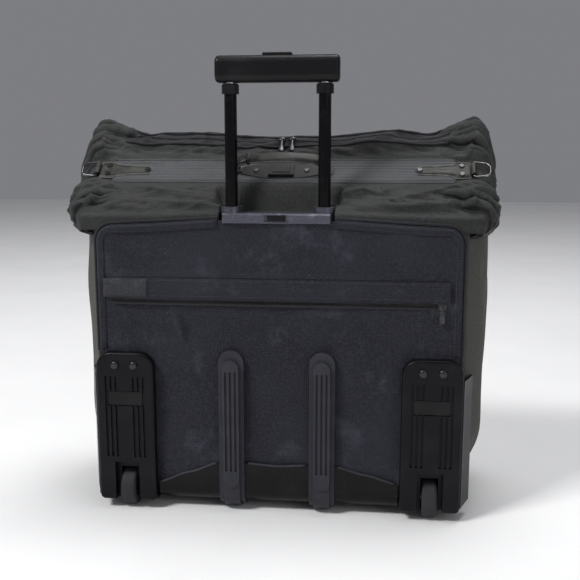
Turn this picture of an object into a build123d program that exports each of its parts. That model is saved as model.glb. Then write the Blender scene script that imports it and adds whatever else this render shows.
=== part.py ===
"""A wheeled garment bag that folds in half, standing upright on two wheels and two feet.

X runs across the bag, -Y is the side with the wheels and the telescopic handle, +Z is up.
The origin lies on the floor, under the middle of the bag. All sizes are in millimetres.
"""

from build123d import *
import os
from math import atan2, cos, sin

os.makedirs("parts", exist_ok=True)

# ---------------------------------------------------------------- driving dimensions
PANEL_W = 570.0  # back panel, piping to piping
PANEL_TOP = 461.0  # at its corners
PANEL_CROWN = 15.0  # how far the top edge rises towards the middle
PANEL_CORNER = 30.0
PANEL_FOOT = 36.0  # where the flat panel turns under
BACK_Y = -118.0  # outer face of the back panel
PANEL_T = 5.0
BOARD_T = 4.0
PART_Y = 22.0  # the plane between the two halves
FRONT_Y = 121.0  # outer face of the front half
SIDE_X = 322.0  # the packed sides bulge out this far
SIDE_Y = (-30.0, 88.0)  # between these the side is widest
FLOOR_GAP = 12.0  # bottom of the soft body above the floor
CREST_Y = 20.0
CREST_Z = 595.0
FRONT_TOP_Z = 560.0
SKIN = 4.0  # fabric and foam of the soft walls
SOFT_CORNER = 126.0  # round bottom corners of the soft body
BEND_R = 24.0  # back to bottom
ZIP_HALF = 5.5
GAP = 0.5

# the slope between the panel's top and the crest
SLOPE_FOOT = (BACK_Y + 6.0, 470.0)
SLOPE_ANGLE = atan2(CREST_Z - SLOPE_FOOT[1], CREST_Y - SLOPE_FOOT[0])
SLOPE = Plane(
    origin=(0, SLOPE_FOOT[0], SLOPE_FOOT[1]),
    x_dir=(1, 0, 0),
    z_dir=(0, -sin(SLOPE_ANGLE), cos(SLOPE_ANGLE)),
)
FOLD_T = 12.0
FOLD_X = 292.0
BAND_S = (69.0, 121.0)  # webbing band, measured up the slope
BAND_T = 2.0
MID_S = 95.0

# telescopic handle
TUBE_X = 71.0
TUBE_Y = -96.0
OUTER_D, OUTER_BORE = 23.0, 21.0
MID_D, MID_BORE = 19.0, 17.0
INNER_D, INNER_BORE = 16.0, 14.0
FIT = 0.05  # radial running clearance
OUTER_Z = (45.0, 470.0)
MID_Z = (255.0, 652.0)
INNER_Z = (365.0, 685.0)
COLLAR_H = 15.0
BEZEL_Z = (461.0, 485.0)
BEZEL_X = 89.5
BEZEL_Y = (-121.0, -77.0)
COLLAR_R = 17.5
GRIP_Z = (668.0, 708.0)
GRIP_X = 93.0

# wheels and housings
WHEEL_X = 238.7
WHEEL_Y = -104.0
WHEEL_R = 31.0
WHEEL_W = 24.0
AXLE_D = 8.0
HOUSING_X = (192.5, 285.0)
HOUSING_Z = (15.0, 258.0)
HOUSING_Y = -131.0
VISOR_Z = 81.0
WELL_Y = -70.0
RIVET_Z = 238.0
RIVET_X = (223.8, 253.6)
BADGE_Z = (172.0, 196.0)
BADGE_W = 56.0

# skids and kick plate
SKID_X = 71.0
SKID_W = 40.0
SKID_TOP = 264.0
RIB_W = 26.0
RIB_TOP = 240.0
LEDGE_Z = 54.0
KICK_T = 1.5
KICK_X = 190.0

# pocket
POCKET_X = 262.0
FLAP_Z = (344.0, 375.0)
ZIP_LINE_Z = 339.0

# screws through the board: x, z
SCREW_D = 4.0
SCREW_LEN = 11.5
SKID_SCREWS = [(57.0, 110.0), (85.0, 110.0), (57.0, 225.0), (85.0, 225.0)]
BRACKET_SCREW = (30.0, 46.0)


def keep(builder, name):
    """Name a finished piece and write it to its own file."""
    builder.part.label = name
    export_step(builder.part, f"parts/{name}.step")


def keep_mirrored(builder, name):
    """Write the piece's mirror image on the other side of the bag."""
    with BuildPart() as other:
        add(builder.part.mirror(Plane.YZ))
    keep(other, name)


def block(x_range, y_range, z_range, mode=Mode.ADD):
    """A box between two corners, inside the block that is being built."""
    with BuildSketch(Plane.XY.offset(z_range[0])) as base:
        with Locations(((x_range[0] + x_range[1]) / 2, (y_range[0] + y_range[1]) / 2)):
            Rectangle(x_range[1] - x_range[0], y_range[1] - y_range[0])
    extrude(base.sketch, amount=z_range[1] - z_range[0], mode=mode)


def rod_z(x, y, z_range, radius, mode=Mode.ADD):
    """An upright round bar."""
    with BuildSketch(Plane.XY.offset(z_range[0])) as base:
        with Locations((x, y)):
            Circle(radius)
    extrude(base.sketch, amount=z_range[1] - z_range[0], mode=mode)


def rod_y(points, y_range, radius, mode=Mode.ADD):
    """Round bars along Y, from y_range[0] to y_range[1], at points (x, z)."""
    with BuildSketch(Plane.XZ.offset(-y_range[1])) as base:
        with Locations(*points):
            Circle(radius)
    extrude(base.sketch, amount=y_range[1] - y_range[0], mode=mode)


def rod_x(x_range, y, z, radius, mode=Mode.ADD):
    """A round bar along X."""
    with BuildSketch(Plane.YZ.offset(x_range[0])) as base:
        with Locations((y, z)):
            Circle(radius)
    extrude(base.sketch, amount=x_range[1] - x_range[0], mode=mode)


def both_sides(points):
    """The same points on both sides of the middle."""
    return [(sign * x, z) for sign in (-1, 1) for x, z in points]


# ---------------------------------------------------------------- the soft body
def bag_form(inset):
    """The bag's whole volume, drawn in by inset on every side."""
    half = PANEL_W / 2 - inset
    side = SIDE_X - inset
    bottom = FLOOR_GAP + inset
    back = BACK_Y + inset
    front = FRONT_Y - inset
    with BuildPart() as form:
        with BuildSketch(Plane.XY) as plan:
            with BuildLine():
                Polyline(
                    (-half, back),
                    (half, back),
                    (side, SIDE_Y[0]),
                    (side, SIDE_Y[1]),
                    (half, front),
                    (-half, front),
                    (-side, SIDE_Y[1]),
                    (-side, SIDE_Y[0]),
                    close=True,
                )
            make_face()
            fillet(plan.vertices().group_by(Axis.X)[0], radius=60 - inset)
            fillet(plan.vertices().group_by(Axis.X)[-1], radius=60 - inset)
            fillet(plan.vertices().group_by(Axis.Y)[-1], radius=30 - inset)
        extrude(amount=CREST_Z + 20)
        with BuildSketch(Plane.YZ) as profile:
            with BuildLine():
                Polyline(
                    (back, bottom),
                    (front, bottom),
                    (front, FRONT_TOP_Z - inset),
                    (CREST_Y + 3, CREST_Z - inset),
                    (back, SLOPE_FOOT[1] - inset),
                    close=True,
                )
            make_face()
            lowest = profile.vertices().group_by(Axis.Y)[0].sort_by(Axis.X)
            fillet(lowest[0], radius=BEND_R - inset)
            fillet(lowest[-1], radius=40 - inset)
            top_front = profile.vertices().filter_by(lambda v: abs(v.Y - FRONT_TOP_Z + inset) < 1)
            fillet(top_front, radius=30 - inset)
        extrude(amount=2 * SIDE_X, both=True, mode=Mode.INTERSECT)
        with BuildSketch(Plane.XZ) as outline:
            with BuildLine():
                Polyline(
                    (-side, bottom),
                    (side, bottom),
                    (side, PANEL_TOP),
                    (FOLD_X - inset, CREST_Z + 5),
                    (inset - FOLD_X, CREST_Z + 5),
                    (-side, PANEL_TOP),
                    close=True,
                )
            make_face()
            fillet(outline.vertices().group_by(Axis.Y)[0], radius=SOFT_CORNER - inset)
        extrude(amount=2 * SIDE_X, both=True, mode=Mode.INTERSECT)
    return form.part


with BuildPart() as shell:
    add(bag_form(0))
    add(bag_form(SKIN), mode=Mode.SUBTRACT)

FAR = 1000.0
HOUSING_ROOM_X = (HOUSING_X[0] - GAP, FAR)
HOUSING_ROOM_Y = (-FAR, WELL_Y + 4.5)
HOUSING_ROOM_Z = (0.0, VISOR_Z + 8.5)
SIDE_FOOT = 150.0  # the side walls meet the bottom wall here
RIM_TOP = 455.0
BACK_RIM_Y = PART_Y - ZIP_HALF
FRONT_RIM_Y = PART_Y + ZIP_HALF

with BuildPart() as gusset_right:
    add(shell.part)
    block((200, FAR), (BACK_Y + PANEL_T, BACK_RIM_Y), (SIDE_FOOT, RIM_TOP), Mode.INTERSECT)
keep(gusset_right, "gusset_right")
keep_mirrored(gusset_right, "gusset_left")

with BuildPart() as gusset_bottom:
    add(shell.part)
    block((-FAR, FAR), (BACK_Y + PANEL_T + 3, BACK_RIM_Y), (0, SIDE_FOOT), Mode.INTERSECT)
    block(HOUSING_ROOM_X, HOUSING_ROOM_Y, HOUSING_ROOM_Z, Mode.SUBTRACT)
    block((-FAR, -HOUSING_ROOM_X[0]), HOUSING_ROOM_Y, HOUSING_ROOM_Z, Mode.SUBTRACT)
keep(gusset_bottom, "gusset_bottom")

with BuildPart() as main_zip_back:
    add(shell.part)
    block((-FAR, FAR), (BACK_RIM_Y, PART_Y - GAP), (0, RIM_TOP), Mode.INTERSECT)
keep(main_zip_back, "main_zip_back")

FRONT_FACE_Y = FRONT_Y - SKIN
FRONT_RIM_TOP = 552.0

with BuildPart() as main_zip_front:
    add(shell.part)
    block((-FAR, FAR), (PART_Y + GAP, FRONT_RIM_Y), (0, FRONT_RIM_TOP), Mode.INTERSECT)
keep(main_zip_front, "main_zip_front")

with BuildPart() as front_panel:
    add(shell.part)
    block((-FAR, FAR), (FRONT_FACE_Y, FAR), (40, FRONT_TOP_Z - 30), Mode.INTERSECT)
keep(front_panel, "front_panel")

with BuildPart() as front_gusset_right:
    add(shell.part)
    block((150, FAR), (FRONT_RIM_Y, FRONT_FACE_Y), (SIDE_FOOT, FRONT_TOP_Z - 30), Mode.INTERSECT)
keep(front_gusset_right, "front_gusset_right")
keep_mirrored(front_gusset_right, "front_gusset_left")

with BuildPart() as front_gusset_bottom:
    add(shell.part)
    block((-FAR, FAR), (FRONT_RIM_Y, FAR), (0, SIDE_FOOT), Mode.INTERSECT)
    block((-FAR, FAR), (FRONT_FACE_Y, FAR), (40, FAR), Mode.SUBTRACT)
keep(front_gusset_bottom, "front_gusset_bottom")

with BuildPart() as front_gusset_top:
    add(shell.part)
    block((-FAR, FAR), (PART_Y + GAP, FAR), (FRONT_TOP_Z - 30, FAR), Mode.INTERSECT)
    block((-FAR, FAR), (0, FRONT_RIM_Y), (0, FRONT_RIM_TOP), Mode.SUBTRACT)
    block((-FAR, FAR), (0, PART_Y + 4), (CREST_Z - 3, FAR), Mode.SUBTRACT)
keep(front_gusset_top, "front_gusset_top")

POCKET_DEPTH = 135.0 - FRONT_Y
with BuildPart() as front_pocket:
    with BuildSketch(Plane.XZ.offset(-FRONT_Y)):
        with Locations((0, 270)):
            RectangleRounded(470, 380, 40)
    extrude(amount=-POCKET_DEPTH)
    outer_edges = front_pocket.faces().sort_by(Axis.Y)[-1].edges()
    fillet(outer_edges, radius=9)
keep(front_pocket, "front_pocket")


# ---------------------------------------------------------------- back panel
def panel_path(inset):
    """The panel's edge: straight sides, round top corners and a slightly crowned top."""
    half = PANEL_W / 2 - inset
    FilletPolyline(
        (-half, PANEL_FOOT),
        (-half, PANEL_TOP - inset),
        (0, PANEL_TOP + PANEL_CROWN - inset),
        (half, PANEL_TOP - inset),
        (half, PANEL_FOOT),
        radius=[PANEL_CORNER - inset, 1500, PANEL_CORNER - inset],
    )


PIPING_R = 2.5
SCREW_POINTS = both_sides([(x, z) for x, z in SKID_SCREWS] + [BRACKET_SCREW])
RIVET_POINTS = both_sides([(x, RIVET_Z) for x in RIVET_X])

with BuildPart() as back_panel:
    with BuildSketch(Plane.XZ.offset(-BACK_Y)):
        with BuildLine():
            panel_path(2 * PIPING_R)
            Line((-PANEL_W / 2 + 2 * PIPING_R, PANEL_FOOT), (PANEL_W / 2 - 2 * PIPING_R, PANEL_FOOT))
        make_face()
    extrude(amount=-PANEL_T)
    block((-BEZEL_X - GAP, BEZEL_X + GAP), (-FAR, 0), (BEZEL_Z[0] - GAP, FAR), Mode.SUBTRACT)
    block(HOUSING_ROOM_X, (-FAR, 0), HOUSING_ROOM_Z, Mode.SUBTRACT)
    block((-FAR, -HOUSING_ROOM_X[0]), (-FAR, 0), HOUSING_ROOM_Z, Mode.SUBTRACT)
    rod_y(SCREW_POINTS, (BACK_Y - 1, 0), SCREW_D / 2 + FIT, Mode.SUBTRACT)
    rod_y(RIVET_POINTS, (BACK_Y - 1, 0), SCREW_D / 2 + FIT, Mode.SUBTRACT)
keep(back_panel, "back_panel")

with BuildPart() as piping:
    with BuildLine(Plane.XZ.offset(-BACK_Y - PIPING_R)) as welt:
        panel_path(PIPING_R)
    with BuildSketch(Plane(origin=welt.line @ 0, z_dir=welt.line % 0)):
        Circle(PIPING_R - 0.02)
    sweep(path=welt.line)
    block((-BEZEL_X - GAP, BEZEL_X + GAP), (-FAR, 0), (BEZEL_Z[0] - GAP, FAR), Mode.SUBTRACT)
    block((HOUSING_X[0], FAR), (-FAR, 0), (0, HOUSING_Z[1] + GAP), Mode.SUBTRACT)
    block((-FAR, -HOUSING_X[0]), (-FAR, 0), (0, HOUSING_Z[1] + GAP), Mode.SUBTRACT)
keep(piping, "piping")

BOARD_Y = BACK_Y + PANEL_T
with BuildPart() as back_board:
    with BuildSketch(Plane.XZ.offset(-BOARD_Y)):
        with Locations((0, (HOUSING_ROOM_Z[1] + RIM_TOP) / 2)):
            RectangleRounded(2 * POCKET_X, RIM_TOP - HOUSING_ROOM_Z[1], 25)
        with Locations((0, 65)):
            Rectangle(2 * KICK_X, 70)
    extrude(amount=-BOARD_T)
    rod_y(SCREW_POINTS, (BOARD_Y - 1, 0), SCREW_D / 2 + FIT, Mode.SUBTRACT)
    rod_y(RIVET_POINTS, (BOARD_Y - 1, 0), SCREW_D / 2 + FIT, Mode.SUBTRACT)
keep(back_board, "back_board")

FLAP_SEAM_Z = 357.0
with BuildPart() as pocket_zip:
    block((-POCKET_X + 4, POCKET_X - 4), (BACK_Y - 1.4, BACK_Y), (ZIP_LINE_Z - 6, FLAP_SEAM_Z))
keep(pocket_zip, "pocket_zip")

with BuildPart() as pocket_flap:
    with BuildSketch(Plane.YZ.offset(-POCKET_X)):
        with BuildLine():
            Polyline(
                (BACK_Y, FLAP_SEAM_Z + GAP),
                (BACK_Y, FLAP_Z[1]),
                (BACK_Y - 2.2, FLAP_Z[1] - 1),
                (BACK_Y - 4, FLAP_Z[0]),
                (BACK_Y - 1.6, FLAP_Z[0]),
                (BACK_Y - 1.6, FLAP_SEAM_Z + GAP),
                close=True,
            )
        make_face()
    extrude(amount=2 * POCKET_X)
keep(pocket_flap, "pocket_flap")

SLIDER_X = 250.0
PULL_PIN_Z = 335.0
PULL_PIN_Y = BACK_Y - 6.0
with BuildPart() as pocket_slider:
    block((SLIDER_X - 6, SLIDER_X + 6), (BACK_Y - 4.4, BACK_Y - 1.7), (ZIP_LINE_Z - 5, ZIP_LINE_Z + 4.5))
    block((SLIDER_X - 3.2, SLIDER_X - 1.6), (BACK_Y - 7.5, BACK_Y - 4.4), (PULL_PIN_Z - 1.5, ZIP_LINE_Z + 2))
    block((SLIDER_X + 1.6, SLIDER_X + 3.2), (BACK_Y - 7.5, BACK_Y - 4.4), (PULL_PIN_Z - 1.5, ZIP_LINE_Z + 2))
    rod_x((SLIDER_X - 1.6, SLIDER_X + 1.6), PULL_PIN_Y, PULL_PIN_Z, 0.7)
keep(pocket_slider, "pocket_slider")

with BuildPart() as pocket_pull:
    with BuildSketch(Plane.XZ.offset(-PULL_PIN_Y)):
        with Locations((SLIDER_X, PULL_PIN_Z - 12)):
            RectangleRounded(8, 19, 2.5)
    extrude(amount=0.8, both=True)
    block((SLIDER_X - 5, SLIDER_X - 1.45), (-FAR, 0), (PULL_PIN_Z - 3.2, FAR), Mode.SUBTRACT)
    block((SLIDER_X + 1.45, SLIDER_X + 5), (-FAR, 0), (PULL_PIN_Z - 3.2, FAR), Mode.SUBTRACT)
    block((SLIDER_X - 1.45, SLIDER_X + 1.45), (PULL_PIN_Y - 0.8, PULL_PIN_Y + 0.8), (PULL_PIN_Z - 4, PULL_PIN_Z))
    rod_x((SLIDER_X - 1.45, SLIDER_X + 1.45), PULL_PIN_Y, PULL_PIN_Z, 1.4)
    rod_x((SLIDER_X - 5, SLIDER_X + 5), PULL_PIN_Y, PULL_PIN_Z, 0.85, Mode.SUBTRACT)
keep(pocket_pull, "pocket_pull")


# ---------------------------------------------------------------- skids and kick plate
def wrap_section(inner, outer, top, end_y):
    """A strip round the bag's lower back edge, between two distances off the soft body."""
    centre_y = BACK_Y + BEND_R
    bend_z = FLOOR_GAP + BEND_R
    with BuildLine() as section:
        Line((BACK_Y - outer, top), (BACK_Y - outer, bend_z))
        CenterArc((centre_y, bend_z), BEND_R + outer, 180, 90)
        Line((centre_y, FLOOR_GAP - outer), (end_y, FLOOR_GAP - outer))
        Line((end_y, FLOOR_GAP - outer), (end_y, FLOOR_GAP - inner))
        Line((end_y, FLOOR_GAP - inner), (centre_y, FLOOR_GAP - inner))
        CenterArc((centre_y, bend_z), BEND_R + inner, 270, -90)
        Line((BACK_Y - inner, bend_z), (BACK_Y - inner, top))
        Line((BACK_Y - inner, top), (BACK_Y - outer, top))
    make_face(section.edges())


KICK_CREST = 81.0
with BuildPart() as kick_plate:
    with BuildSketch(Plane.YZ.offset(-KICK_X)):
        wrap_section(0, KICK_T, KICK_CREST + 5, -60)
    extrude(amount=2 * KICK_X)
    with BuildSketch(Plane.XZ):
        with BuildLine():
            Spline(
                (-KICK_X, 44),
                (-140, 62),
                (-SKID_X - 20, KICK_CREST - 1),
                (-SKID_X + 10, KICK_CREST),
                (0, KICK_CREST - 4),
                (SKID_X - 10, KICK_CREST),
                (SKID_X + 20, KICK_CREST - 1),
                (140, 68),
                (KICK_X, 55),
            )
            Polyline((KICK_X, 55), (KICK_X, 0), (-KICK_X, 0), (-KICK_X, 44))
        make_face()
    extrude(amount=2 * SIDE_X, both=True, mode=Mode.INTERSECT)
keep(kick_plate, "kick_plate")

with BuildPart() as skids:
    for centre in (-SKID_X, SKID_X):
        with BuildSketch(Plane.YZ.offset(centre - SKID_W / 2)):
            wrap_section(KICK_T, 6, SKID_TOP - SKID_W / 2, -76)
        extrude(amount=SKID_W)
        with BuildSketch(Plane.XZ.offset(-BACK_Y)):
            with Locations((centre, SKID_TOP - SKID_W / 2)):
                Circle(SKID_W / 2)
        extrude(amount=6)
        with BuildSketch(Plane.XZ.offset(-BACK_Y)):
            with Locations((centre, (KICK_CREST + SKID_TOP - SKID_W / 2) / 2 + 2)):
                Rectangle(SKID_W, SKID_TOP - SKID_W / 2 - KICK_CREST - 4)
        extrude(amount=6)
        with BuildSketch(Plane.XZ.offset(-BACK_Y + 3)):
            with Locations((centre, (RIB_TOP + LEDGE_Z) / 2)):
                SlotOverall(RIB_TOP - LEDGE_Z + 20, RIB_W, rotation=90)
        extrude(amount=10)
        with BuildSketch(Plane.YZ.offset(centre - RIB_W / 2)):
            wrap_section(KICK_T, 10, LEDGE_Z, -80)
        extrude(amount=RIB_W)
        for offset in (-7.5, 0, 7.5):
            with BuildSketch(Plane.XZ.offset(-BACK_Y + 10.5)):
                with Locations((centre + offset, (RIB_TOP + LEDGE_Z) / 2 + 4)):
                    SlotOverall(RIB_TOP - LEDGE_Z - 24, 3.2, rotation=90)
            extrude(amount=4, mode=Mode.SUBTRACT)
    rod_y(SCREW_POINTS, (BACK_Y - 3.5, 0), SCREW_D / 2 + FIT, Mode.SUBTRACT)
keep(skids, "skids")


# ---------------------------------------------------------------- wheel housings and wheels
HOUSING_MID = WHEEL_X

with BuildPart() as housing_right:
    with BuildSketch(Plane.XZ.offset(-BACK_Y)) as face_plate:
        with Locations((HOUSING_MID, (HOUSING_Z[0] + HOUSING_Z[1]) / 2)):
            Rectangle(HOUSING_X[1] - HOUSING_X[0], HOUSING_Z[1] - HOUSING_Z[0])
        fillet(face_plate.vertices().group_by(Axis.Y)[-1], radius=25)
        fillet(face_plate.vertices().group_by(Axis.Y)[0], radius=8)
    extrude(amount=BACK_Y - HOUSING_Y)
    fillet(housing_right.faces().sort_by(Axis.Y)[0].edges(), radius=4)
    block(HOUSING_X, (BACK_Y, WELL_Y + 4), (HOUSING_Z[0], VISOR_Z + 8))
    with BuildSketch(Plane.XY.offset(HOUSING_Z[0] + 8)):
        with BuildLine():
            Polyline(
                (HOUSING_X[1] - 1, BACK_Y - 9),
                (HOUSING_X[1] + 1.6, BACK_Y - 9),
                (HOUSING_X[1] + 3.2, BACK_Y - 3),
                (HOUSING_X[1] + 17.5, BACK_Y + 31),
                (HOUSING_X[1] + 14.5, BACK_Y + 33),
                (HOUSING_X[1] + 0.3, BACK_Y - 0.3),
                (HOUSING_X[1] - 1, BACK_Y - 0.3),
                close=True,
            )
        make_face()
    extrude(amount=HOUSING_Z[1] - HOUSING_Z[0] - 40)
    block((WHEEL_X - 20, WHEEL_X + 20), (-FAR, BACK_Y + 1), (0, VISOR_Z - 2), Mode.SUBTRACT)
    block((WHEEL_X - 13.5, WHEEL_X + 13.5), (-FAR, WELL_Y), (0, 2 * WHEEL_R + 5), Mode.SUBTRACT)
    for offset in (-30, -22, -14, 14, 22, 30):
        with BuildSketch(Plane.XZ.offset(-HOUSING_Y - 3)):
            with Locations((HOUSING_MID + offset, 154)):
                SlotOverall(132, 4, rotation=90)
        extrude(amount=10, mode=Mode.SUBTRACT)
    with BuildSketch(Plane.XZ.offset(-HOUSING_Y - 3.5)):
        with Locations((HOUSING_MID, sum(BADGE_Z) / 2)):
            RectangleRounded(BADGE_W, BADGE_Z[1] - BADGE_Z[0], 2)
    extrude(amount=10, mode=Mode.SUBTRACT)
    rod_x((WHEEL_X - 22, WHEEL_X + 22), WHEEL_Y, WHEEL_R, AXLE_D / 2 + FIT, Mode.SUBTRACT)
    rod_y([(x, RIVET_Z) for x in RIVET_X], (-FAR, 0), SCREW_D / 2 + FIT, Mode.SUBTRACT)
keep(housing_right, "housing_right")
keep_mirrored(housing_right, "housing_left")

BADGE_FLOOR_Y = HOUSING_Y + 3.5
with BuildPart() as housing_badges:
    with BuildSketch(Plane.XZ.offset(-BADGE_FLOOR_Y)):
        with Locations((-HOUSING_MID, sum(BADGE_Z) / 2), (HOUSING_MID, sum(BADGE_Z) / 2)):
            RectangleRounded(BADGE_W - 2, BADGE_Z[1] - BADGE_Z[0] - 2, 1.5)
    extrude(amount=1.8)
keep(housing_badges, "housing_badges")

RIVET_HEAD_R = 6.75
RIVET_HEAD_H = 4.0
with BuildPart() as housing_rivets:
    rod_y(RIVET_POINTS, (HOUSING_Y - RIVET_HEAD_H, HOUSING_Y), RIVET_HEAD_R)
    fillet(housing_rivets.edges().group_by(Axis.Y)[0], radius=RIVET_HEAD_H - 0.6)
    rod_y(RIVET_POINTS, (HOUSING_Y, BOARD_Y + BOARD_T + 1.5), SCREW_D / 2)
    rod_y(RIVET_POINTS, (BOARD_Y + BOARD_T, BOARD_Y + BOARD_T + 1.5), SCREW_D)
keep(housing_rivets, "housing_rivets")

with BuildPart() as wheel_axles:
    rod_x((WHEEL_X - 21.5, WHEEL_X + 21.5), WHEEL_Y, WHEEL_R, AXLE_D / 2)
    rod_x((-WHEEL_X - 21.5, -WHEEL_X + 21.5), WHEEL_Y, WHEEL_R, AXLE_D / 2)
keep(wheel_axles, "wheel_axles")

BEARING_R = 9.0
BEARING_W = 6.0
HUB_R = 20.0
with BuildPart() as tyre_right:
    rod_x((WHEEL_X - WHEEL_W / 2, WHEEL_X + WHEEL_W / 2), WHEEL_Y, WHEEL_R, WHEEL_R)
    fillet(tyre_right.edges().filter_by(GeomType.CIRCLE), radius=5)
    rod_x((WHEEL_X - WHEEL_W, WHEEL_X + WHEEL_W), WHEEL_Y, WHEEL_R, HUB_R, Mode.SUBTRACT)
keep(tyre_right, "tyre_right")
keep_mirrored(tyre_right, "tyre_left")

with BuildPart() as hub_right:
    rod_x((WHEEL_X - 11, WHEEL_X + 11), WHEEL_Y, WHEEL_R, HUB_R)
    rod_x((WHEEL_X + 8, WHEEL_X + 12), WHEEL_Y, WHEEL_R, HUB_R - 4, Mode.SUBTRACT)
    rod_x((WHEEL_X - 12, WHEEL_X - 8), WHEEL_Y, WHEEL_R, HUB_R - 4, Mode.SUBTRACT)
    rod_x((WHEEL_X - 11.5, WHEEL_X + 11.5), WHEEL_Y, WHEEL_R, BEARING_R + 2)
    rod_x((WHEEL_X - 11.5, WHEEL_X - 11.5 + BEARING_W), WHEEL_Y, WHEEL_R, BEARING_R, Mode.SUBTRACT)
    rod_x((WHEEL_X + 11.5 - BEARING_W, WHEEL_X + 11.5), WHEEL_Y, WHEEL_R, BEARING_R, Mode.SUBTRACT)
    rod_x((WHEEL_X - 12, WHEEL_X + 12), WHEEL_Y, WHEEL_R, AXLE_D / 2 + 1, Mode.SUBTRACT)
keep(hub_right, "hub_right")
keep_mirrored(hub_right, "hub_left")

with BuildPart() as bearings_right:
    for start in (WHEEL_X - 11.5, WHEEL_X + 11.5 - BEARING_W):
        rod_x((start, start + BEARING_W), WHEEL_Y, WHEEL_R, BEARING_R)
        rod_x((start - 1, start + BEARING_W + 1), WHEEL_Y, WHEEL_R, AXLE_D / 2 + FIT, Mode.SUBTRACT)
keep(bearings_right, "bearings_right")
keep_mirrored(bearings_right, "bearings_left")

with BuildPart() as front_feet:
    for x in (-200, 200):
        rod_z(x, 4, (0, FLOOR_GAP), 10)
    chamfer(front_feet.faces().sort_by(Axis.Z)[0].edges(), length=2)
    chamfer(front_feet.faces().sort_by(Axis.Z)[1].edges(), length=2)
keep(front_feet, "front_feet")


# ---------------------------------------------------------------- telescopic handle
def tube(z_range, outer_r, bore_r, centres=(-TUBE_X, TUBE_X)):
    """Upright tubes at the handle's two sides."""
    for x in centres:
        rod_z(x, TUBE_Y, z_range, outer_r)
        rod_z(x, TUBE_Y, (z_range[0] - 1, z_range[1] + 1), bore_r, Mode.SUBTRACT)


with BuildPart() as outer_tubes:
    tube(OUTER_Z, OUTER_D / 2, OUTER_BORE / 2)
keep(outer_tubes, "outer_tubes")

with BuildPart() as tube_bushes:
    tube((OUTER_Z[1] - 40, OUTER_Z[1]), OUTER_BORE / 2, MID_D / 2 + FIT)
    tube((OUTER_Z[1], OUTER_Z[1] + 2), OUTER_D / 2, MID_D / 2 + FIT)
keep(tube_bushes, "tube_bushes")

with BuildPart() as bezel:
    block((-BEZEL_X + 8, BEZEL_X - 8), BEZEL_Y, (BEZEL_Z[0], BEZEL_Z[1] - 9))
    chamfer(bezel.edges().filter_by(Axis.X).group_by(Axis.Y)[0].sort_by(Axis.Z)[-1], length=3)
    for x in (-TUBE_X, TUBE_X):
        with BuildSketch(Plane.XY.offset(BEZEL_Z[0])):
            with Locations((x, TUBE_Y)):
                Ellipse(COLLAR_R + 1, COLLAR_R + 4)
        extrude(amount=BEZEL_Z[1] - BEZEL_Z[0], taper=3)
    block((-18, 18), (-FAR, BEZEL_Y[0] + 3), (463, 474), Mode.SUBTRACT)
    block((-14.2, 14.2), (-FAR, BEZEL_Y[0] + 13), (464.3, 472.7), Mode.SUBTRACT)
    for x in (-TUBE_X, TUBE_X):
        rod_z(x, TUBE_Y, (0, OUTER_Z[1] + 2), OUTER_D / 2 + FIT, Mode.SUBTRACT)
        rod_z(x, TUBE_Y, (0, FAR), MID_D / 2 + 0.4, Mode.SUBTRACT)
keep(bezel, "bezel")

with BuildPart() as bezel_button:
    block((-14, 14), (BEZEL_Y[0] + 1, BEZEL_Y[0] + 10), (464.5, 472.5))
    fillet(bezel_button.edges().filter_by(Axis.Y), radius=1.5)
keep(bezel_button, "bezel_button")

BRACKET_Z = (30.0, 62.0)
with BuildPart() as bottom_bracket:
    block((-90, -52), (BOARD_Y + BOARD_T, TUBE_Y + 15), BRACKET_Z)
    block((52, 90), (BOARD_Y + BOARD_T, TUBE_Y + 15), BRACKET_Z)
    block((-53, 53), (BOARD_Y + BOARD_T, BOARD_Y + BOARD_T + 4.5), BRACKET_Z)
    for x in (-TUBE_X, TUBE_X):
        rod_z(x, TUBE_Y, (OUTER_Z[0], FAR), OUTER_D / 2 + FIT, Mode.SUBTRACT)
    rod_y(both_sides([BRACKET_SCREW]), (-FAR, 0), SCREW_D / 2 + FIT, Mode.SUBTRACT)
keep(bottom_bracket, "bottom_bracket")


def screw(x, z, head_y):
    """A screw along -Y with its head's underside at head_y."""
    rod_y([(x, z)], (head_y - SCREW_LEN, head_y), SCREW_D / 2)
    rod_y([(x, z)], (head_y, head_y + 1.5), SCREW_D * 0.85)


with BuildPart() as frame_screws:
    for x, z in both_sides(SKID_SCREWS):
        screw(x, z, BOARD_Y + BOARD_T)
    for x, z in both_sides([BRACKET_SCREW]):
        screw(x, z, BOARD_Y + BOARD_T + 4.5)
keep(frame_screws, "frame_screws")

with BuildPart() as mid_tube_right:
    tube(MID_Z, MID_D / 2, MID_BORE / 2, centres=(TUBE_X,))
keep(mid_tube_right, "mid_tube_right")
keep_mirrored(mid_tube_right, "mid_tube_left")

with BuildPart() as mid_collars:
    tube((MID_Z[1], MID_Z[1] + COLLAR_H), 13, INNER_D / 2 + FIT)
    chamfer(mid_collars.faces().group_by(Axis.Z)[-1].edges().filter_by(lambda e: e.radius > 10), length=2)
    tube((MID_Z[1] - 20, MID_Z[1]), MID_BORE / 2, INNER_D / 2 + FIT)
keep(mid_collars, "mid_collars")

with BuildPart() as inner_tubes:
    tube(INNER_Z, INNER_D / 2, INNER_BORE / 2)
keep(inner_tubes, "inner_tubes")

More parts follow.
